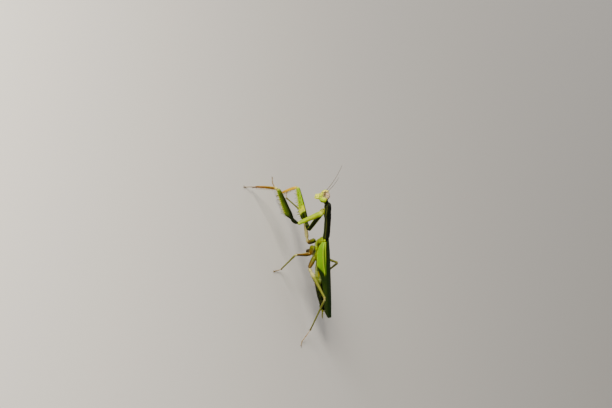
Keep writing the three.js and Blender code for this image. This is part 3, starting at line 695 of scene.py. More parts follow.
OCELLUS_RADII = (0.15, 0.13, 0.15)
EYE_RIM, EYE_GROOVE = 1.16, 1.32  # distances from an eye's middle, as shares of its radius
FACET_LEVEL, FACET_DEPTH = 6, 0.012  # how fine the eye's sphere is and how deep it dips
ANTENNA_ARTICLES, CERCUS_ARTICLES = 64, 13


def face_y(x, z):
    """How far forward the face is at x, z."""
    inside = max(1 - abs(x / HEAD_HALF(z)) ** HEAD_POWER, 0)
    return -float(HEAD_FACE(z) * inside ** (1 / HEAD_POWER))


def eye_distance(points, sign):
    """Distance from an eye's middle as a share of its own radius, 1 on its surface."""
    place = np.array(eye_frame(sign))
    local = (points - place[:3, 3]) @ place[:3, :3]
    return np.linalg.norm(local / EYE_RADII, axis=-1)


def plate(x, z, size, edge=0.09):
    """1 inside a rounded plate on the face, with a short slope at its edge."""
    middle, half_width, half_height = size
    reach = (np.abs(x / half_width) ** 3 + np.abs((z - middle) / half_height) ** 3) ** (1 / 3)
    return ease(1 + edge / half_height, 1 - edge / half_height, reach)


def skull():
    """The head capsule with its plates, sutures, antenna sockets and eye rims."""
    z = (crowded(130, 0.7) * 2 - 1) * HEAD_TOP
    c, s = power_wave(angles(128), HEAD_POWER)
    opened = capped(z + HEAD_TOP, 2 * HEAD_TOP, 0.3, 0.55)
    depth = np.where(s > 0, HEAD_NAPE(z), HEAD_FACE(z))
    rings = grid(HEAD_HALF(z) * c * opened, depth * s * opened, z)
    x, y, z = np.moveaxis(rings, -1, 0)
    front, rear, across = ease(0.1, -0.5, y), ease(0.2, 0.7, y), np.abs(x)
    shield, clypeus = plate(x, z, SHIELD), plate(x, z, CLYPEUS)
    socket = np.hypot(across - ANTENNA_ROOT[0], z - ANTENNA_ROOT[1])
    crown = ease(1.5, 2.4, z)
    inner, outer = (across - line for line in CROWN_LINES)
    above, below = z - SEAM_ABOVE, z - SEAM_BELOW
    near = np.minimum(eye_distance(rings, 1), eye_distance(rings, -1))
    rim = ridge(near - EYE_RIM, 0.07)
    relief = front * (
        0.13 * shield
        - 0.05 * shield * (ridge(across - 0.45, 0.07) + ridge(x, 0.09))
        + 0.12 * clypeus
        - 0.07 * (ridge(above, 0.06) + ridge(below, 0.08))
        + 0.12 * ridge(socket - 0.36, 0.09)
        - 0.1 * ridge(socket, 0.2)
        + 0.17 * ridge(np.hypot(x, z - 1.75), 0.62)
        - 0.05 * ridge(across - 1.25, 0.07) * ease(-1.2, -0.6, z)
    )
    relief += crown * (0.08 * ridge(x, 0.45) - 0.06 * (ridge(inner, 0.07) + ridge(outer, 0.08)))
    relief -= 0.07 * rear * ridge(z - 0.6 * across - 1.3, 0.1)
    relief += 0.09 * rim - 0.05 * ridge(near - EYE_GROOVE, 0.06)
    # A dark band of painted shade across the upper face between the eyes.
    brow_shade = ease(0.75, 1.05, z) * ease(2.4, 1.9, z) * ease(1.9, 1.4, across) * ease(0.4, -0.3, y)
    masks = {
        "fresh": 0.8 * ridge(across - 1.4, 0.35) * ease(1.0, 0.2, z) * front,
        "pale": 0.7 * ease(-0.6, -1.8, z)
        + 0.35 * rim
        + 0.3 * front * (clypeus + shield)
        + 0.3 * crown * ridge(across - 1.0, 0.25),
        "warm": 0.95 * ease(0.5, 1.3, z) * ease(2.4, 1.6, across) * ease(1.1, 0.4, y),
        # Painted shade: the back of the head, the grooves of the face and crown, the antenna sockets, the
        # band between the eyes and a ring round each eye are darkened as if in shade.
        "dark": 0.85 * rear * ease(3.2, 2.2, z)
        + 0.9 * ease(-0.1, 0.5, y)
        + 0.7 * crown * (ridge(inner, 0.13) + ridge(outer, 0.14))
        + front * (0.4 * ridge(socket, 0.3) + 0.8 * ridge(above, 0.09) + 0.8 * ridge(below, 0.1))
        + 0.72 * brow_shade
        + 0.6 * ease(0.0, 0.9, z) * ridge(near - 1.3, 0.14),
    }
    return loft(rings, masks, relief)


def labrum():
    """The upper lip: a tongue with a faint groove down its middle."""
    half = curve((0, 0.84), (0.55, 0.86), (0.85, 0.62), (1, 0.25))
    share = crowded(30)
    c, s = power_wave(angles(36), 2.8)
    opened = capped(share, 1, 0.12, 0.25)
    x = half(share) * c * (0.4 + 0.6 * opened)
    y = 0.27 * s * opened - 1.0 + 0.2 * share - 0.12 * ridge(share - 0.4, 0.4) + 0.06 * ridge(x, 0.12)
    masks = {
        "pale": 0.8 * ease(1.0, 0.3, share) * (1 - 0.5 * ridge(x, 0.12)),
        "warm": 0.5 * ease(0.7, 1.0, share),
        "dark": 0.35 * ease(0.8, 0.98, np.abs(c)) + 0.5 * ease(0.12, 0.0, share),
    }
    return loft(grid(x, y, -2.05 - 1.62 * share), masks)


def mandible(sign):
    """A jaw beside the upper lip, dark at its point."""
    path = bezier((sign * 1.05, -0.4, -1.7), (sign * 1.1, -0.55, -2.95), (sign * 0.3, -0.5, -3.65))
    size = curve((0, 0.4), (0.25, 0.5), (0.7, 0.4), (1, 0.1))

    def paint(t):
        return {"pale": 0.5 * (1 - t), "fresh": 0.3, "dark": ease(0.7, 0.95, t)}

    return tube(path, size, 26, 18, paint)


def palp(sign, out, drop, articles):
    """A palp of bead-like articles beside the mouth."""
    path = bezier((sign * 0.7, 0.1, -2.5), (sign * out, -0.5, -2.9), (sign * (out - 0.3), -0.7, -drop))

    def size(t):
        bead = np.sin(math.pi * (t * articles % 1)) ** 0.7
        return (0.17 + 0.07 * bead) * (1 - 0.55 * ease(0.93, 1, t))

    def paint(t):
        return {"pale": 0.6 * ridge(t * articles % 1 - 0.5, 0.3), "warm": 0.4}

    return tube(path, size, 12 * articles, 14, paint)


def head_forms():
    """All that one skin covers on the head."""
    forms = [skull(), labrum()]
    for sign in (1, -1):
        forms += [mandible(sign), palp(sign, 1.6, 3.65, 5), palp(sign, 0.9, 3.9, 3)]
        x, z = sign * ANTENNA_ROOT[0], ANTENNA_ROOT[1]
        forms.append(ball((x, face_y(x, z) - 0.02, z), (0.3, 0.16, 0.3), {"dark": 0.35, "fresh": 0.6}))
    return forms


def icosphere(level):
    """Points and triangles of a sphere made by splitting an icosahedron."""
    maker = bmesh.new()
    bmesh.ops.create_icosphere(maker, subdivisions=level, radius=1)
    points = np.array([v.co[:] for v in maker.verts])
    faces = np.array([[v.index for v in f.verts] for f in maker.faces])
    maker.free()
    return points, faces


def eye(sign):
    """A compound eye: each point of a fine sphere is the top of a facet, with low ground between."""
    points, faces = icosphere(FACET_LEVEL)
    edges = np.sort(np.vstack([faces[:, [0, 1]], faces[:, [1, 2]], faces[:, [2, 0]]]), axis=1)
    edges, where = np.unique(edges, axis=0, return_inverse=True)
    between = unit(points[edges[:, 0]] + points[edges[:, 1]])
    count, size = len(points), len(faces)
    ab, bc, ca = (where.reshape(-1)[k * size : (k + 1) * size] + count for k in range(3))
    a, b, c = faces.T
    corners = ((a, ab, ca), (ab, b, bc), (ca, bc, c), (ab, bc, ca))
    triangles = np.vstack([np.stack(corner, -1) for corner in corners])
    sphere = np.vstack([points, between])
    facet = 1 - FACET_DEPTH * (np.arange(len(sphere)) >= count)
    outer, rear, up = sign * sphere[:, 0], sphere[:, 1], sphere[:, 2]
    # How strongly the pale tint paints a highlight on the eye's inner side: strong on the far (right) eye,
    # weak on the near one.
    painted_highlight = 0.95 if sign < 0 else 0.3
    pupil = np.linalg.norm(sphere - np.array((sign * 0.62, -0.76, 0.18)), axis=1)
    masks = {
        "fresh": 0.9 * ease(0.1, -0.5, up),
        "pale": 0.1 * ease(0.7, 1.0, up) + painted_highlight * ease(0.0, -0.4, outer),
        # Painted shade: the rear of each eye is darkened.
        "dark": 0.85 * ease(0.2, 0.8, rear) + 0.6 * ease(0.9, 1.0, outer),
        "spot": 0.8 * ease(0.11, 0.07, pupil),
    }
    made = form(sphere * EYE_RADII * facet[:, None], [triangles], masks)
    return placed(made, SKULL @ eye_frame(sign))


def antenna(sign):
    """A long feeler: a stout base joint, a short second one and a lash of fine articles."""
    length, articles = ANTENNA_LENGTH, ANTENNA_ARTICLES
    path = bezier(
        (sign * ANTENNA_ROOT[0], -1.35, ANTENNA_ROOT[1]),
        (sign * 1.5, -0.3 * length, 0.36 * length),
        (sign * 4.0, -0.72 * length, 0.66 * length),
    )
    size = curve((0, 0.3), (0.022, 0.31), (0.036, 0.17), (0.05, 0.2), (0.07, 0.15), (1, 0.06))

    def radius(t):
        return size(t) * (1 + 0.16 * (t * articles % 1 - 0.5) * ease(0.05, 0.08, t))

    def paint(t):
        dark = 0.3 + 0.55 * ease(0.1, 0.6, t)
        return {"pale": 0.8 * ease(0.1, 0.03, t), "dark": dark, "warm": 0.3 * ease(0.05, 0.2, t)}

    return tube(path, radius, articles * 6, 10, paint)


piece("head_skin", [placed(f, SKULL) for f in head_forms()], HEAD_SKIN, ["head"])
ocelli = [ball((x, face_y(x, z) - 0.15, z), OCELLUS_RADII, {}) for x, z in OCELLI]
piece("ocelli", [placed(f, SKULL) for f in ocelli], OCELLUS_GLASS, [])
for side, sign in SIDES:
    piece(f"eye_{side}_facets", [eye(sign)], EYE_GLASS, [f"eye_{side}"])
    feeler = placed(antenna(sign), SKULL)
    piece(f"antenna_{side}_lash", [feeler], ANTENNA_SKIN, [f"antenna_{side}"])


# ---- Pronotum ------------------------------------------------------------------------------


def pronotum():
    """The neck shield: keeled, with a cross groove over the hips and toothed margins."""
    half = curve(
        (0, 2.15), (3, 2.0), (8, 1.9), (11, 2.2), (13.4, 3.0), (16, 2.6), (17.6, 2.2), (18.7, 1.6)
    )
    keel = curve(
        (0, 0.45), (4, 0.62), (12, 0.62), (13.6, 0.45), (15, 0.55), (17.6, 0.2), (18.7, -0.3)
    )
    margin = curve((0, -1.2), (10, -1.0), (13.4, -1.3), (17, -1.1), (18.7, -1.2))
    floor = curve((0, -2.7), (4, -2.4), (10, -2.4), (13.4, -2.9), (17, -2.9), (18.7, -2.5))
    t = crowded(240, 0.6) * PRONOTUM_LENGTH
    opened = np.minimum(dome(t + 0.05, 0.35), dome(PRONOTUM_LENGTH - t, 0.9))
    c, s = power_wave(angles(88), 2)
    x = half(t) * c * opened
    rise = np.where(s > 0, keel(t) - margin(t), margin(t) - floor(t))
    over = ease(-0.05, 0.25, s)
    edge = ridge(s - 0.02, 0.1) * ease(0.3, 0.8, np.abs(c))
    teeth = np.maximum(np.sin(TAU * t / MARGIN_TOOTH), 0) ** 3 * ease(8, 11, t) * ease(18.6, 18.0, t)
    groove = over * ridge(t - PRONOTUM_GROOVE - 0.5 * (1 - np.abs(c)), 0.2)
    ahead, behind = ease(13.6, 14.4, t), ease(12.9, 11.5, t)
    relief = (
        edge * (0.05 + 0.12 * teeth)
        + over * (0.1 * ridge(x, 0.16) * behind - 0.07 * ridge(x, 0.1) * ahead)
        - 0.16 * groove
        + 0.05 * over * ridge(np.abs(x) - 0.55 * half(t), 0.25)
        - 0.06 * ridge(s + 0.14, 0.07)
    )
    lower = ease(-0.78, -0.9, s)
    cheek = ease(12.6, 13.8, t) * ease(17.3, 16.4, t) * ease(-0.5, -0.75, s)
    # Painted shade: the upper half, the cross groove and the front end are darkened as if in shade, and the
    # base colour keeps the flanks dark. The lower flank's lighter green and pale are partly the underside's
    # own paler colour and partly painted light.
    masks = {
        "dark": np.minimum(over + 0.6 * groove + 0.6 * ease(17, 18, t), 1) * (1 - 0.55 * edge),
        "fresh": 0.8 * lower * ease(17.6, 16.8, t) + 0.06 * ridge(s + 0.55, 0.2),
        "pale": 0.2 * edge + 0.4 * lower * ease(17.3, 16.6, t) + 0.8 * cheek,
        "warm": 0.08 * ridge(s + 0.25, 0.15),
        "spot": 0.8 * edge * ease(0.55, 0.95, teeth),
    }
    return loft(grid(x, -t, margin(t) + rise * s * opened), masks, relief)


piece("pronotum_shield", [placed(pronotum(), FRONT)], PRONOTUM_SKIN, ["pronotum"])


# ---- Neck, thorax and abdomen: one skin ------------------------------------------------------

TRUNK_HALF = curve(
    (0.3, 1.5), (2.3, 2.3), (6.3, 2.7), (10.3, 2.8), (12.9, 2.3),
    (17.1, 2.8), (28.1, 3.1), (34.9, 2.6), (40.4, 1.2),
)
TRUNK_ROOF = curve((0.3, -1.75), (4.8, -1.8), (7.7, -2.75), (12.9, -2.6), (29.4, -2.5), (40.4, -2.7))
TRUNK_FLOOR = curve(
    (0.3, -3.4), (2.3, -5.6), (4.3, -6.6), (7.3, -6.3), (9.8, -6.9), (12.9, -6.3),
    (18.5, -6.8), (26.7, -6.8), (34.9, -5.5), (40.4, -4.0),
)
# Shares of an abdominal ring at which the trunk has sections: where it steps in, swells and ends.
RING_STEP, RING_SWELL = (0.0, 0.012, 0.03, 0.06, 0.1, 0.16), (0.24, 0.34, 0.45, 0.56, 0.67, 0.77)
RING_SHARES = (*RING_STEP, *RING_SWELL, 0.86, 0.93, 0.97, 0.99)
# Patches of painted light on the flank of the abdomen: middle along and up, half length and half height.
# The first is yellow, the others whitish.
ABDOMEN_PATCHES = ((18.7, -4.5, 1.3, 0.5), (17.2, -6.3, 2.8, 0.9), (21.2, -3.8, 1.9, 0.6))
NECK_WRINKLES = 11


def trunk_stations():
    """Places along the trunk, as a column, with extra ones where each abdominal ring steps in."""
    thorax = np.linspace(THORAX_START, ABDOMEN_START, 90, endpoint=False)
    rings = [(i + p) / ABDOMEN_SEGMENTS for i in range(ABDOMEN_SEGMENTS) for p in RING_SHARES]
    belly = ABDOMEN_START + np.array([*rings, 0.998, 1.0]) * ABDOMEN_LENGTH
    return np.r_[thorax, belly][:, None]


def hip_distance(points, name):
    """Distance of trunk points from the line on which a leg leaves the trunk."""
    base, coxa = LEGS[name][:2]
    way = np.array(TRUNK.to_3x3().inverted() @ direction(coxa[1], coxa[2]))
    offset = points - np.array(base)
    return np.linalg.norm(offset - (offset @ way)[..., None] * way, axis=-1)


def trunk():
    """Thorax and abdomen in one skin: side plates and hip rims, then overlapping rings."""
    y = trunk_stations()
    angle = angles(96)
    c, s = power_wave(angle, 2)
    cos, sin = power_wave(angle, 2.5 - 0.2 * ease(12, 15, y))
    phase = np.clip((y - ABDOMEN_START) / ABDOMEN_LENGTH, 0, 1 - 1e-6) * ABDOMEN_SEGMENTS % 1
    belly = ease(ABDOMEN_START - 0.4, ABDOMEN_START + 0.3, y)
    chest = 1 - belly
    ends = np.minimum(dome(y - THORAX_START + 0.05, 0.8), dome(TRUNK_END - y + 0.02, 1.6))
    step = belly * (-0.24 * (1 - ease(0.0, 0.2, phase)) + 0.05 * ease(0.6, 0.97, phase))
    roof, floor = TRUNK_ROOF(y), TRUNK_FLOOR(y)
    z = (roof + floor) / 2 + ((roof - floor) / 2 + step) * sin * ends
    rings = grid((TRUNK_HALF(y) + step) * cos * ends, y, z)
    flank = ease(0.45, 0.8, np.abs(c))
    fold = ridge(s + 0.18, 0.09)
    slant = y + 1.6 * (z - floor) / (roof - floor)
    seams = ridge(slant - 4.3, 0.13) + ridge(slant - 7.2, 0.15) + ridge(slant - 10.2, 0.13)
    swell = ridge(slant - 3.2, 0.9) + ridge(slant - 5.7, 0.9) + ridge(slant - 8.7, 1.0)
    ring_length = ABDOMEN_LENGTH / ABDOMEN_SEGMENTS
    spiracle = flank * ridge(np.hypot((phase - 0.3) * ring_length, (s + 0.02) * 2.4), 0.14)
    relief = belly * (
        -0.2 * fold
        + 0.06 * ridge(s - 0.02, 0.1)
        + 0.03 * fold * np.sin(TAU * phase * 9)
        - 0.08 * spiracle
        - 0.05 * ridge(c, 0.06) * ease(0, 0.4, s)
    )
    relief += chest * (flank * (0.12 * swell - 0.15 * seams) + 0.06 * ridge(c, 0.12) * ease(0, -0.5, s))
    for name in LEGS:
        if not name.startswith("front"):
            relief += 0.17 * ridge(hip_distance(rings, name) - 1.3, 0.22)
    # The pale patches are painted light on the abdomen's flank; they lift the painted shade where they lie.
    yellow, *whitish = (
        belly * flank * ridge(np.hypot((y - at) / reach, (z - low) / tall), 1)
        for at, low, reach, tall in ABDOMEN_PATCHES
    )
    whitish = np.maximum(*whitish)
    shade = (
        0.9 * ease(20.5, 24.5, y)
        + 0.95 * belly * ease(-3.7, -3.1, z)
        + 0.8 * belly * ridge(y - 14.5 + 0.9 * (z + 3.9), 1.5) * ease(-6.0, -5.0, z)
        + 0.35 * belly * ease(0.8, 0.98, phase)
        + 0.85 * chest * ease(-5.1, -4.6, z) * ease(1.0, 2.6, y)
    )
    masks = {
        "fresh": chest * 0.7 * ridge(slant - 5.4, 1.4) * ease(-2.5, -3.5, z),
        "warm": 0.9 * yellow,
        "pale": 0.85 * whitish
        + 0.25 * fold * belly * ease(24, 20, y)
        + chest * (0.6 * ridge(z + 5.6, 0.22) * ease(5, 3.5, y) + 0.12 * seams),
        "dark": np.minimum(shade, 1) * (1 - 0.8 * np.maximum(yellow, whitish)),
        "spot": 0.8 * spiracle * belly,
    }
    return loft(rings, masks, relief)


def neck():
    """The soft neck, wrinkled."""
    path = bezier((0, -16.9, 28), (0, -19.2, 27.95), (0, -21.4, 27.9))
    rings, share = tube_rings(path, lambda t: 1.1, 60, 32)
    wrinkles = np.sin(TAU * NECK_WRINKLES * share)
    # Painted shade: dark over most of the neck, fading out near the head.
    masks = {"fresh": 0.2 + 0.2 * wrinkles, "dark": 0.92 * ease(1.0, 0.75, share)}
    return loft(rings, masks, 0.05 * wrinkles)


def cercus(sign):
    """A cercus of short beaded articles beside the tip of the abdomen."""
    articles = CERCUS_ARTICLES
    base = np.array((sign * 2.15, TRUNK_END - 1.6, -3.5))
    lean = math.radians(10 * sign)
    end = base + CERCUS_LENGTH * np.array((math.sin(lean), math.cos(lean), 0))
    size = curve((0, 0.4), (0.5, 0.33), (1, 0.16))

    def radius(t):
        return size(t) * (0.86 + 0.14 * math.sin(math.pi * (t * articles % 1)))

    def paint(t):
        return {"warm": 0.2 + 0.2 * t, "dark": 0.45 + 0.25 * t}

    return tube(bezier(base, (base + end) / 2, end), radius, articles * 8, 16, paint)


def wing_roots():
    """The plate between the wing roots and the boss on which each forewing turns."""
    # The plate is painted dark as shade on the back; the bosses are green.
    forms = [ball((0, 0.9, -1.0), (2.0, 1.7, 1.15), {"dark": 0.95})]
    forms += [ball((sign * 2.6, 0.3, -1.2), (0.5, 0.75, 0.5), {"fresh": 1.0}) for sign in (1, -1)]
    return forms


def tail_plates():
    """The scoop under the tip of the abdomen, its valves and the small roof over them."""
    end = TRUNK_END
    scoop = bezier((0, end - 4.2, -4.7), (0, end - 1.5, -5.0), (0, end + 0.6, -3.9))
    size = curve((0, 0.7), (0.35, 1.15), (0.8, 0.7), (1, 0.2))
    rings, share = tube_rings(scoop, size, 30, 28)
    level = scoop(share)[..., 2]
    rings[..., 2] = level + (rings[..., 2] - level) * 0.55
    # The scoop and the small roof are darkened as painted shade, like the rear of the abdomen.
    forms = [loft(rings, {"fresh": 0.4 * (1 - share), "dark": 0.5})]
    forms.append(ball((0, end - 0.3, -2.75), (0.9, 1.2, 0.32), {"dark": 0.6}))
    size = curve((0, 0.32), (0.6, 0.26), (1, 0.05))
    for sign in (1, -1):
        root, tip = (sign * 0.3, end - 1.2, -3.6), (sign * 0.2, end + 0.9, -3.5)
        valve = bezier(root, (sign * 0.35, end, -3.7), tip)
        forms.append(tube(valve, size, 16, 12, lambda t: {"warm": t}))
    return forms


skin = [placed(trunk(), TRUNK), placed(neck(), SHIFT)]
skin += [placed(f, TRUNK) for f in (*wing_roots(), *tail_plates(), cercus(1), cercus(-1))]
skin_nodes = ["neck", "pterothorax", "abdomen", "cercus_left", "cercus_right"]
piece("body_skin", skin, BODY_SKIN, skin_nodes)


# ---- Wings ---------------------------------------------------------------------------------

TEGMEN_RIDGE = curve((0, 2.9), (4, 3.6), (12, 3.85), (28, 3.75), (36, 3.2), (41, 2.2), (43.8, 0.8))
TEGMEN_DROP = curve(
    (0, 1.1), (3, 3.0), (7, 4.0), (12, 4.1), (16, 3.5), (20, 2.4), (26, 1.7), (36, 1.3),
    (41, 0.9), (43.8, 0.25),
)
TEGMEN_CROSS = curve((0, 0.3), (10, 0.76), (36, 0.78), (43.8, 0.3))
LONG_VEINS = (0.1, 0.2, 0.31, 0.42, 0.53, 0.64, 0.76, 0.88)  # shares of the field over the back
SECOND_VEIN = curve((0, 0.4), (3, 1.05), (11, 1.15), (17, 0.75), (24, 0.5), (43, 0.3))  # past the ridge
RIB_GAP, STREAK_GAP = 1.25, 1.35  # between the cross ribs and the long streaks of the front field
FLAT_TEGMEN, FLAT_HINDWING = 40, 60  # heights of the wings' flat maps, so that no two nets match
HINDWING_HALF = curve((8.2, 2.2), (12, 2.7), (30, 2.8), (37, 2.2), (42, 0.9))
PLEAT = 0.42  # from one fold of the hindwing to the next


def along_line(points, counts):
    """A smooth line through points (rows, n, 3): cardinal spline, evenly split between them."""
    ends = [2 * points[:, :1] - points[:, 1:2], points, 2 * points[:, -1:] - points[:, -2:-1]]
    p = np.concatenate(ends, 1)
    out = []
    for i, count in enumerate(counts):
        u = (np.arange(count) / count)[None, :, None]
        a, b, c, d = (p[:, i + k : i + k + 1] for k in range(4))
        bend = (2 * a - 5 * b + 4 * c - d) * u**2 + (3 * b - a - 3 * c + d) * u**3
        out.append(b + 0.5 * ((c - a) * u + bend))
    out.append(points[:, -1:])
    return np.concatenate(out, 1)


def wing_grid(sign, t, lines, counts):
    """Middle points of a wing through lines (across, up) at t, and how far across it each lies."""
    points = np.stack([grid(sign * x, t, z) for x, z in lines], 1)
    centre = along_line(points, counts)
    step = np.linalg.norm(np.diff(centre, axis=1), axis=2)
    return centre, np.concatenate([np.zeros((len(t), 1)), np.cumsum(step, 1)], 1)


def sheet_form(centre, thick, relief, masks, flat):
    """A closed thin sheet round a grid of middle points; relief raises its upper face."""
    rows, columns, _ = centre.shape
    normal = unit(np.cross(np.gradient(centre, axis=0), np.gradient(centre, axis=1)))
    if normal[..., 2].mean() < 0:
        normal = -normal
    upper = centre + normal * (thick / 2 + relief)[..., None]
    lower = centre - normal * (thick / 2)[..., None]
    count = rows * columns
    top = grid_faces(rows, columns, False)
    index = np.arange(count).reshape(rows, columns)
    rim = np.concatenate([index[0, :-1], index[:-1, -1], index[-1, :0:-1], index[:0:-1, 0]])
    after = np.roll(rim, -1)
    edge = np.stack([rim, after, after + count, rim + count], -1)
    both = {k: np.tile(np.broadcast_to(v, (rows, columns)).reshape(-1), 2) for k, v in masks.items()}
    made = form(np.stack([upper, lower]), [np.vstack([top[:, ::-1], top + count, edge])], both)
    made["flat"] = np.tile(flat.reshape(-1, 3), (2, 1))
    return made


def tegmen(sign):
    """A folded forewing: its field over the back and its front field down the flank."""
    upper = sign > 0
    ridge_low, middle_low, edge_low = (-0.75, 0.15, -0.25) if upper else (-1.1, -0.67, -1.3)
    t = np.linspace(WING_START, WING_LENGTH, 300)
    crest, drop = TEGMEN_RIDGE(t), TEGMEN_DROP(t)
    far = crest * TEGMEN_CROSS(t) * (1 if upper else 0.85)
    lines = [
        (-far, edge_low),
        (-0.5 * far, (edge_low + 2 * middle_low) / 3),
        (0.25 * crest, middle_low),
        (0.7 * crest, (ridge_low + 2 * middle_low) / 3 - (0 if upper else 0.18)),
        (crest, ridge_low),
        (crest + 0.35, ridge_low - 0.35 * drop),
        (crest + 0.3, ridge_low - drop),
    ]
    counts = (16, 24, 14, 10, 14, 24)
    centre, run = wing_grid(sign, t, lines, counts)
    fold = run[:, [sum(counts[:4])]]
    down = run - fold  # past the ridge, towards the front edge
    width = run[:, -1:] - fold
    y = t[:, None]
    net = np.zeros_like(down)
    for share in LONG_VEINS:
        bend = share * (1 + 0.12 * np.sin(share * 9 + y / 9)) * ease(-6, 16, y)
        net = np.maximum(net, 0.75 * ridge(-down - bend * fold, 0.085))
    ribs = (y - 1.15 * down) / RIB_GAP
    rib = ridge(np.abs(ribs - np.round(ribs)) * RIB_GAP / 1.5, 0.075)
    costal = ease(-0.02, 0.06, down)
    net = np.maximum(net, 0.55 * costal * rib * ease(0.3, 0.7, down))
    crease, margin = ridge(down, 0.2), ridge(width - down, 0.17)
    second = ridge(down - SECOND_VEIN(y), 0.11) * costal
    relief = 0.075 * net + 0.13 * np.maximum(crease, margin) + 0.07 * second
    # Painted sunlight on the front field, ending on a slant where a painted shadow begins.
    sunlit = ease(19.2, 17.6, y + 1.19 * down)  # the front field, cut off on a slant
    band = ridge(down / SECOND_VEIN(y) - 0.45, 0.45) * costal
    waves = 0.16 * ridge(np.sin(TAU * down / STREAK_GAP + 0.5), 0.6)
    streak = waves + 0.2 * ease(9, 16, y) * ridge(down - 2, 0.9)
    # The front field's painted-sunlit part, and its part past the slant in painted shade.
    front, shadowed_field = costal * sunlit, costal * (1 - sunlit)
    # Painted light and shade: the field over the back is darkened as if in shade; the front field is lime
    # as if sunlit, partly its own lighter green, and past the slant the warm and dark tints paint it in
    # shade.
    masks = {
        "fresh": front * (1 - 0.8 * band * ease(1, 6, y)) * (1 - 0.3 * net) * (1 - streak),
        "pale": 0.85 * second * ease(19.5, 17, y)
        + 0.55 * crease * ease(14, 6, y)
        + 0.7 * margin * sunlit
        + 0.3 * net * front,
        "warm": 0.3 * front * ease(11, 17, y) * ridge(down - 2.2, 0.8)
        + 0.75 * shadowed_field * ease(16, 24, y) * (1 - 0.5 * net),
        "dark": 0.5 * ease(0.05, -0.4, down) * (1 - 0.5 * net) + 0.9 * shadowed_field * ease(26, 20, y),
    }
    shrink = capped(y - WING_START, WING_LENGTH - WING_START, 0.8, 0.8)
    thick = WING_THICKNESS * (0.35 + 0.65 * shrink)
    return sheet_form(centre, thick, relief * shrink, masks, grid(y, down * 1.25, sign * FLAT_TEGMEN))


def hindwing(sign):
    """A hindwing folded like a fan, seen only at its edge and tip."""
    t = np.linspace(HINDWING_START, HINDWING_LENGTH, 150)
    reach = HINDWING_HALF(t)
    lines = [(0.2, -1.9), (0.55 * reach, -2.02), (reach, -2.4)]
    centre, run = wing_grid(sign, t, lines, (22, 22))
    pleats = np.sin(TAU * run / PLEAT)
    y = t[:, None]
    centre[..., 2] += 0.05 * pleats * dome(HINDWING_LENGTH - y, 1.0)
    # Painted light and shade on the pleats: paler on the raised folds, darker in the hollows between them.
    masks = {"pale": 0.35 * (pleats > 0.5), "dark": 0.25 * (pleats < -0.5)}
    thick = np.full(run.shape, HINDWING_THICKNESS)
    return sheet_form(centre, thick, 0, masks, grid(y, run, sign * FLAT_HINDWING))


def wing_piece(name, made, material, node):
    """A wing's mesh, with its flat map for the net of veins."""
    obj = piece(name, [made], material, [node])
    flat = obj.data.attributes.new("flat", "FLOAT_VECTOR", "POINT")
    flat.data.foreach_set("vector", made["flat"].reshape(-1))


for side, sign in SIDES:
    fore, hind = placed(tegmen(sign), TRUNK), placed(hindwing(sign), TRUNK)
    wing_piece(f"tegmen_{side}_veined", fore, TEGMEN_SKIN, f"tegmen_{side}")
    wing_piece(f"hindwing_{side}_folded", hind, HINDWING_SKIN, f"hindwing_{side}")


# ---- Legs ----------------------------------------------------------------------------------

TROCHANTER = 0.165  # share of a front femur where its short first joint ends
FRONT_COXA = {
    "inner": curve((0, 1.1), (0.15, 1.4), (0.5, 1.2), (1, 0.85)),
    "outer": curve((0, 0.95), (0.2, 1.1), (0.6, 1.0), (1, 0.85)),
    "side": curve((0, 1.0), (0.2, 1.4), (0.7, 1.2), (1, 0.9)),
}
FRONT_FEMUR = {
    "inner": curve(
        (0, 0.8), (0.1, 0.95), (TROCHANTER, 0.9), (0.34, 2.3), (0.48, 2.2), (0.8, 1.35), (1, 0.85)
    ),
    "outer": curve((0, 0.8), (0.1, 1.0), (TROCHANTER, 0.8), (0.3, 1.2), (0.6, 1.25), (0.85, 1.1), (1, 0.9)),
    "side": curve((0, 0.7), (0.1, 0.85), (TROCHANTER, 0.7), (0.35, 1.0), (0.6, 0.9), (1, 0.7)),
}
FRONT_TIBIA = {
    "inner": curve((0, 0.6), (0.15, 0.75), (0.6, 0.55), (1, 0.4)),
    "outer": curve((0, 0.6), (0.15, 0.75), (0.6, 0.6), (1, 0.5)),
    "side": curve((0, 0.5), (0.2, 0.6), (1, 0.4)),
    "bow": curve((0, 0), (0.5, -0.25), (1, 0)),
}
WALKING_COXA = curve((0, 1.15), (0.4, 1.15), (1, 0.85))
MIDDLE_FEMUR = curve((0, 0.6), (0.1, 0.72), (0.15, 0.58), (0.24, 0.9), (0.6, 0.65), (0.92, 0.5), (1, 0.55))
HIND_FEMUR = curve((0, 0.65), (0.09, 0.78), (0.13, 0.62), (0.22, 0.98), (0.6, 0.68), (0.92, 0.5), (1, 0.58))
WALKING_TIBIA = curve((0, 0.42), (0.06, 0.5), (0.5, 0.36), (0.92, 0.34), (1, 0.42))
FRECKLES = ((0.47, 1.8), (0.53, 1.2), (0.59, 1.7), (0.66, 1.35), (0.74, 1.8), (0.81, 1.3), (0.88, 1.7))
TARSUS_JOINTS = ((0.42, 0.19), (0.17, 0.18), (0.13, 0.18), (0.1, 0.18), (0.18, 0.15))  # share, radius
BENDS_AT = 0.72  # share of the foot that slopes down before it lies flat


def leg_places(name):
    """The frames of a leg's coxa, femur, shin and foot."""
    base, coxa, femur, tibia, foot = LEGS[name]
    hip = (FRONT if name.startswith("front") else TRUNK) @ Vector(base)
    hinge = hip + direction(coxa[1], coxa[2]) * coxa[0]
    knee = hinge + direction(femur[1], femur[2]) * femur[0]
    fall = math.degrees(math.asin((knee.z - tibia[2]) / tibia[0]))
    ankle = knee + direction(tibia[1], -fall) * tibia[0]
    return (
        along(hip, hinge, knee - hinge),
        along(hinge, knee, ankle - knee),
        along(knee, ankle, hinge - knee),
        frame_at((ankle.x, ankle.y, 0), 0, turn=foot[1]),
    )


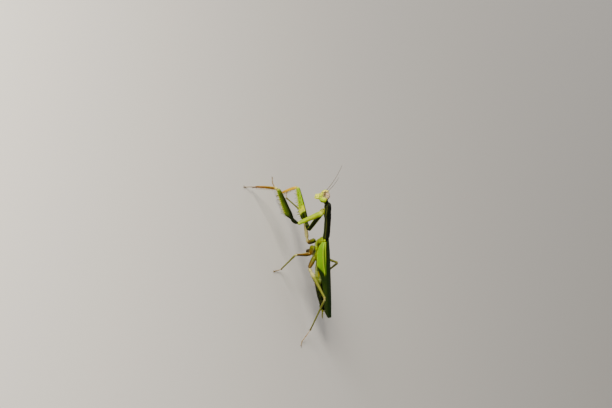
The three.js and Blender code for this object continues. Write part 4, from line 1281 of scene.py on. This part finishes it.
def along(start, end, inside):
    """A frame at start whose +Z runs to end and whose +X leans towards inside."""
    axis = (end - start).normalized()
    side = axis.cross(inside).normalized()
    turn = Matrix((side.cross(axis), side, axis)).transposed().to_4x4()
    return Matrix.Translation(start) @ turn


def inner_sign(place, sign):
    """+1 where the limb's local +Y side faces her middle, on the side given by sign."""
    side = place.to_3x3() @ Vector((0, 1, 0))
    return -1 if side.x * sign > 0 else 1


def front_coxa(length, medial):
    """The long front coxa: keeled, toothed along two edges, its inner face painted near-black as shade
    round a dark spot of its own.
    """
    rings, share, angle, away = limb(length, **FRONT_COXA, rows=110, columns=44)
    inward = ease(0.1, 0.6, np.sin(angle) * medial)
    outside = 1 - inward
    keels = ridge(angle, 0.2) + ridge(away - 2.2, 0.22)
    relief = 0.09 * keels * ease(0.05, 0.2, share) * ease(0.98, 0.9, share)
    relief -= 0.07 * ridge(share - 0.9, 0.012)
    # Painted light along the front edge of the inner face.
    lit_edge = ease(1.1, 0.8, away)
    root, tip = ease(0.26, 0.12, share), ease(0.62, 0.85, share)
    # Painted shade: the inner face is near-black but for its root and lit edge, and the outer face darkens
    # towards its rear side; the spot is a dark spot of its own.
    masks = {
        "fresh": outside * (0.5 + 0.5 * tip + 0.3 * root) + lit_edge + root,
        "warm": outside * (0.3 + 0.4 * ridge(angle - medial, 0.7)) * ridge(share - 0.5, 0.35),
        "pale": (0.55 + 0.4 * inward) * root * ease(0.24, 0.08, share)
        + 0.45 * lit_edge * inward
        + outside * (0.4 * ease(0.88, 0.98, share) + 0.12 * ridge(angle + 0.9 * medial, 0.35)),
        "dark": (1 - root) * (0.97 * inward * (1 - lit_edge) + 0.3 * outside * ease(1.9, 2.6, away)),
        "spot": 0.9 * inward * ease(0.08, 0.055, np.hypot((share - 0.2) * 0.9, (away - 1.57) * 0.06)),
    }
    forms = [loft(rings, masks, relief)]
    inner, side = FRONT_COXA["inner"], FRONT_COXA["side"]
    for i, at in enumerate(np.linspace(0.1, 0.86, 15)):
        root = (0.96 * inner(at), 0, at * length)
        forms.append(thorn(root, (1, 0, 0.35), 0.3 + 0.14 * (i % 3 == 0), 0.07, pale=0.8))
    for at in np.linspace(0.16, 0.8, 9):
        root = (-0.5 * inner(at), 0.8 * medial * side(at), at * length)
        forms.append(thorn(root, (-0.6, 0.8 * medial, 0.35), 0.22, 0.06, pale=0.8))
    return forms


def front_femur(length, medial, bend):
    """The grasping femur: a grooved, spined edge inside and a lobe on each side of the knee."""
    bow = curve((0, 0), (BEND_AT, bend), (1, 0))
    rings, share, angle, away = limb(length, **FRONT_FEMUR, bow=bow, rows=150, columns=56)
    inward = ease(0.15, 0.75, np.sin(angle) * medial)
    outside = 1 - inward
    blade = ease(0.24, 0.34, share) * ease(0.97, 0.9, share)
    claw_pit = ridge(np.hypot((share - 0.37) * 9, angle + 0.95), 0.3)
    relief = blade * (-0.3 * ridge(angle, 0.26) + 0.1 * ridge(away - 0.52, 0.16))
    relief -= 0.13 * ridge(share - TROCHANTER, 0.012) + 0.12 * claw_pit
    relief += 0.05 * ridge(away - 2.5, 0.3) * blade
    freckles = sum(ridge(np.hypot((share - at) * 20, away - turn), 0.2) for at, turn in FRECKLES)
    behind = ease(1.3, 2.3, away)
    # The dark base of the inner face is a painted shadow over the femur's lower part; its end is drawn
    # wavy.
    level = share + 0.03 * np.cos(angle) + 0.012 * np.sin(3 * angle)  # the wavy end of the dark base
    # Painted light and shade: the outer face keeps the dark olive base and darkens further towards its root
    # and rear edge; the inner face is lime as if lit; the trochanter and the groove of the spined edge are
    # darkened as shade.
    masks = {
        "fresh": inward + 0.25 * outside * (blade * ridge(away - 0.9, 0.55) + ease(0.86, 0.94, share)),
        "warm": 0.9 * inward * ridge(level - 0.5, 0.06),
        "pale": 0.14 * blade * ridge(away - 0.42, 0.16)
        + 0.6 * inward * ridge(level - 0.445, 0.02)
        + 0.5 * ease(0.95, 0.99, share),
        "dark": outside * (0.9 * ease(0.4, 0.2, share) + 0.85 * behind * ease(0.96, 0.7, share))
        + ease(0.15, 0.09, share)
        + 0.95 * inward * ease(0.43, 0.4, level)
        + 0.35 * ridge(angle, 0.3) * blade,
        "spot": 0.6 * claw_pit + 0.85 * inward * freckles,
    }
    forms = [loft(rings, masks, relief)]
    inner, side = FRONT_FEMUR["inner"], FRONT_FEMUR["side"]

    def row(shares, edge, lean, reaches, radius=0.2):
        """Spines along one edge, whose reaches are taken in turn."""
        for i, at in enumerate(shares):
            root = (0.72 * inner(at) + bow(at), edge * 0.6 * side(at), at * length)
            reach = reaches[i % len(reaches)] + 0.28 * inner(at)
            forms.append(thorn(root, (1, edge * 0.25, lean), reach, radius, (0, 0, 0.12), 0.9))

    row(np.linspace(0.4, 0.92, 11), 1, 0.12, (0.65, 1.15))
    row(np.linspace(0.42, 0.9, 10), 1, 0.12, (0.28,), 0.1)
    row(np.linspace(0.46, 0.84, 4), -1, 0.1, (1.35,))
    row(np.linspace(0.3, 0.44, 4), 0, 0.05, (0.8, 1.1, 1.9, 1.3), 0.22)
    knee = 0.965 * length
    for edge in (1, -1):
        forms.append(ball((0.35, edge * 0.42, knee), (0.62, 0.24, 0.7), {"pale": 0.5}))
        forms.append(thorn((0.72, edge * 0.5, knee), (1, edge * 0.3, 0.3), 0.5, 0.1, pale=0.8))
    return forms


def front_tibia(length, medial):
    """The spined shin and the sickle claw that it ends in."""
    rings, share, angle, away = limb(length, **FRONT_TIBIA, rows=90, columns=36)
    inward = ease(0.0, 0.6, np.sin(angle) * medial)
    relief = -0.12 * ridge(angle, 0.35) * ease(0.12, 0.25, share) + 0.04 * ridge(away - 2.3, 0.3)
    masks = {
        "fresh": 0.95 * inward,
        "pale": 0.75 * ease(0.2, 0.08, share) * (1 - 0.5 * inward)
        + 0.4 * ease(2.3, 2.9, away) * (1 - 0.6 * inward),
        "warm": ease(0.3, 0.9, share) * (0.7 - 0.35 * inward * ease(0.8, 0.5, share)),
        "dark": 0.5 * ease(0.85, 1.0, share) + 0.45 * ease(1.4, 0.5, away) * (1 - 0.7 * inward),
    }
    forms = [loft(rings, masks, relief)]
    inner, side = FRONT_TIBIA["inner"], FRONT_TIBIA["side"]
    for edge, count in ((1, 11), (-1, 8)):
        for at in np.linspace(0.2, 0.93, count):
            root = (0.4 * inner(at), edge * 0.6 * side(at), at * length)
            spike = thorn(root, (0.75, edge * 0.3, 0.55), 0.75 + 0.55 * at, 0.15, (0, 0, -0.08))
            spike["masks"]["warm"][:] = 0.5
            forms.append(spike)
    claw = bezier((0.0, 0, length - 0.7), (0.1, 0, length + 1.0), (1.12, 0, length + 1.85))
    size = curve((0, 0.42), (0.3, 0.34), (0.7, 0.2), (1, 0.02))

    def paint(t):
        return {"warm": 1 - t, "dark": 0.4 + 0.6 * ease(0.3, 0.9, t)}

    return forms + [tube(claw, size, 26, 14, paint)]


def walking_coxa(length, medial):
    """The short coxa of a middle or hind leg; it looks the same from both sides."""
    rings, share, _, away = limb(length, WALKING_COXA, rows=50, columns=36)
    relief = 0.07 * ridge(away - 1.2, 0.25) - 0.08 * ridge(share - 0.82, 0.03)
    masks = {
        "fresh": 0.7 * ease(0.5, 0.1, share) + 0.1,
        "warm": 0.6 * ease(0.3, 0.7, share),
        "pale": 0.2 * ridge(away - 1.2, 0.3),
        "dark": 0.3 * ease(0.85, 1, share) + 0.8 * ease(1.7, 2.4, away),
    }
    return [loft(rings, masks, relief)]


def walking_femur(length, profile, trochanter, paint):
    """A slender keeled femur with a lobe on each side of the knee and one spine."""
    rings, share, angle, away = limb(length, profile, rows=110, columns=28)
    keels = ridges(away, 0.22, 0.8, 2.35)
    knee = ease(0.93, 0.97, share)
    relief = 0.04 * keels * (1 - knee) - 0.1 * ridge(share - trochanter, 0.012)
    relief += 0.05 * ridge(share - 0.965, 0.02)
    forms = [loft(rings, paint(share, angle, away, knee), relief)]
    for edge in (1, -1):
        forms.append(ball((0.1, edge * 0.3, length - 0.55), (0.42, 0.2, 0.5), {"pale": 0.5}))
    return forms + [thorn((0.3, 0.25, length - 0.4), (0.5, 0.3, 1), 0.45, 0.08)]


def middle_femur(length, medial):
    """A middle leg's femur: pale on its inner side, tawny behind and dark in front."""

    def paint(share, angle, away, knee):
        inward = ease(0.0, 0.6, np.sin(angle) * medial)
        ends = ease(0.02, 0.1, share) * ease(0.95, 0.75, share)
        return {
            "warm": 0.95 * ridge(away - 2.7, 0.8) * ease(0.97, 0.85, share),
            "dark": 0.75 * ease(2.2, 1.4, away) * ends * (1 - inward),
            "pale": 0.9 * inward + 0.9 * knee,
        }

    return walking_femur(length, MIDDLE_FEMUR, 0.15, paint)


def hind_femur(length, medial):
    """A hind leg's femur, which looks the same from both sides: green with a pale base."""

    def paint(share, angle, away, knee):
        base = ease(0.34, 0.24, share)
        return {
            "fresh": 0.75,
            "pale": 0.75 * base + 0.12 * ease(0.9, 2.2, away) + 0.2 * knee,
            # Painted shade along the inside of its bend, which narrows the paler green seen from the side.
            "dark": 0.8 * ease(1.5, 1.0, away) * (1 - base) * (1 - knee),
            "warm": 0.35 * knee,
        }

    return walking_femur(length, HIND_FEMUR, 0.13, paint)


def walking_tibia(length, medial):
    """A long keeled shin with two spurs and rows of small spines, the same from both sides."""
    rings, share, _, away = limb(length, WALKING_TIBIA, rows=110, columns=26, reach=0.6)
    keels = ridges(away, 0.2, 0.8, 2.35)
    masks = {
        "fresh": 0.7,
        "pale": 0.08 + 0.45 * ease(0.12, 0.0, share) + 0.1 * keels,
        "dark": 0.25 + 0.25 * ease(0.7, 1, share),
        "warm": 0.4 * ease(0.75, 1, share),
    }
    forms = [loft(rings, masks, 0.03 * keels)]
    for edge in (1, -1):
        way = np.array((0.65, 0.33 * edge, 1.05))
        forms.append(thorn((0.1, 0.12 * edge, length - 0.7), way, np.linalg.norm(way), 0.13))
    for i, at in enumerate(np.linspace(0.3, 0.92, 12)):
        edge = (-1) ** i
        root = (0.3, 0.12 * edge, at * length)
        forms.append(thorn(root, (1, 0.3 * edge, 0.8), 0.3, 0.045, rows=6, columns=6))
    return forms


def tarsus(length, height):
    """A foot of five jointed lengths with pads, lying flat from its third joint, and two claws."""
    forms, start = [], 0.0
    s, angle = crowded(30), angles(18)
    for i, (share, radius) in enumerate(TARSUS_JOINTS):
        end = start + share * length
        x = start - 0.1 + s * (end - start + 0.14)
        middle = 0.26 + (height - 0.3) * np.maximum(1 - x / (BENDS_AT * length), 0)
        size = radius * (0.72 + 0.42 * ease(0.35, 0.9, s)) * capped(s, 1, 0.08, 0.1)
        pad = 1 + 0.35 * ease(0.0, -1.0, np.sin(angle)) * ease(0.45, 0.85, s) * (i < 4)
        z = np.maximum(middle + size * np.sin(angle) * pad, 0.012)
        dark = 0.55 * ease(0.75, 1.0, s) + 0.08 * i
        masks = {"dark": dark, "pale": 0.4 * ridge(s - 0.3, 0.25), "warm": 0.3}
        forms.append(loft(grid(x, size * np.cos(angle), z), masks))
        start = end
    claw_size = curve((0, 0.12), (0.5, 0.08), (1, 0.015))
    for edge in (1, -1):
        root, tip = (length - 0.25, 0.05 * edge, 0.3), (length + 0.7, 0.55 * edge, 0.06)
        claw = bezier(root, (length + 0.25, 0.42 * edge, 0.55), tip)
        forms.append(tube(claw, claw_size, 14, 8, lambda t: {"dark": 0.5 + 0.5 * t}))
    forms.append(ball((length - 0.05, 0, 0.22), (0.2, 0.15, 0.14), {"pale": 0.3}, 10, 12))
    return forms


SHAPES = {
    "front": (front_coxa, front_femur, front_tibia),
    "middle": (walking_coxa, middle_femur, walking_tibia),
    "hind": (walking_coxa, hind_femur, walking_tibia),
}

bristles = [
    hairs(placed(cercus(1), TRUNK), 0, 420, 0.5, 0.3, low=0.02, high=0.9),
    hairs(placed(cercus(-1), TRUNK), 1, 420, 0.5, 0.3, low=0.02, high=0.9),
    hairs(placed(skull(), SKULL), 2, 260, 0.13, 0.5, low=0.1, high=0.9),
    hairs(placed(tail_plates()[0], TRUNK), 3, 160, 0.3),
]
for name, leg in LEGS.items():
    kind, side = name.split("_")
    places = leg_places(name)
    built = []
    for shape, (length, *_), place in zip(SHAPES[kind], leg[1:4], places):
        medial = inner_sign(place, dict(SIDES)[side])
        extra = {"bend": FEMUR_BENDS.get(name, 0)} if shape is front_femur else {}
        built.append([placed(f, place) for f in shape(length, medial, **extra)])
    coxa, femur, tibia = built
    nodes = [f"{part}_{name}" for part in ("coxa", "femur", "tibia")]
    if kind == "front":
        piece(f"leg_{name}", coxa + femur, FRONT_LEG_SKIN, nodes[:2])
        piece(f"shin_{name}", tibia, SHIN_SKIN, nodes[2:])
    else:
        piece(f"leg_{name}", coxa + femur + tibia, LEG_SKIN, nodes)
    foot = [placed(f, places[3]) for f in tarsus(leg[4][0], leg[3][2])]
    hosts = [(coxa[0], 60, 0.22), (femur[0], 160, 0.22), (tibia[0], 320, 0.26)]
    hosts += [(joint, 60, 0.18) for joint in foot[: len(TARSUS_JOINTS)]]
    for host, count, reach in hosts:
        bristles.append(hairs(host, len(bristles), count, reach, low=0.08, high=0.94))
    piece(f"foot_{name}", foot, FOOT_SKIN, [f"tarsus_{name}"])

piece("setae", bristles, SETA_SKIN, [])
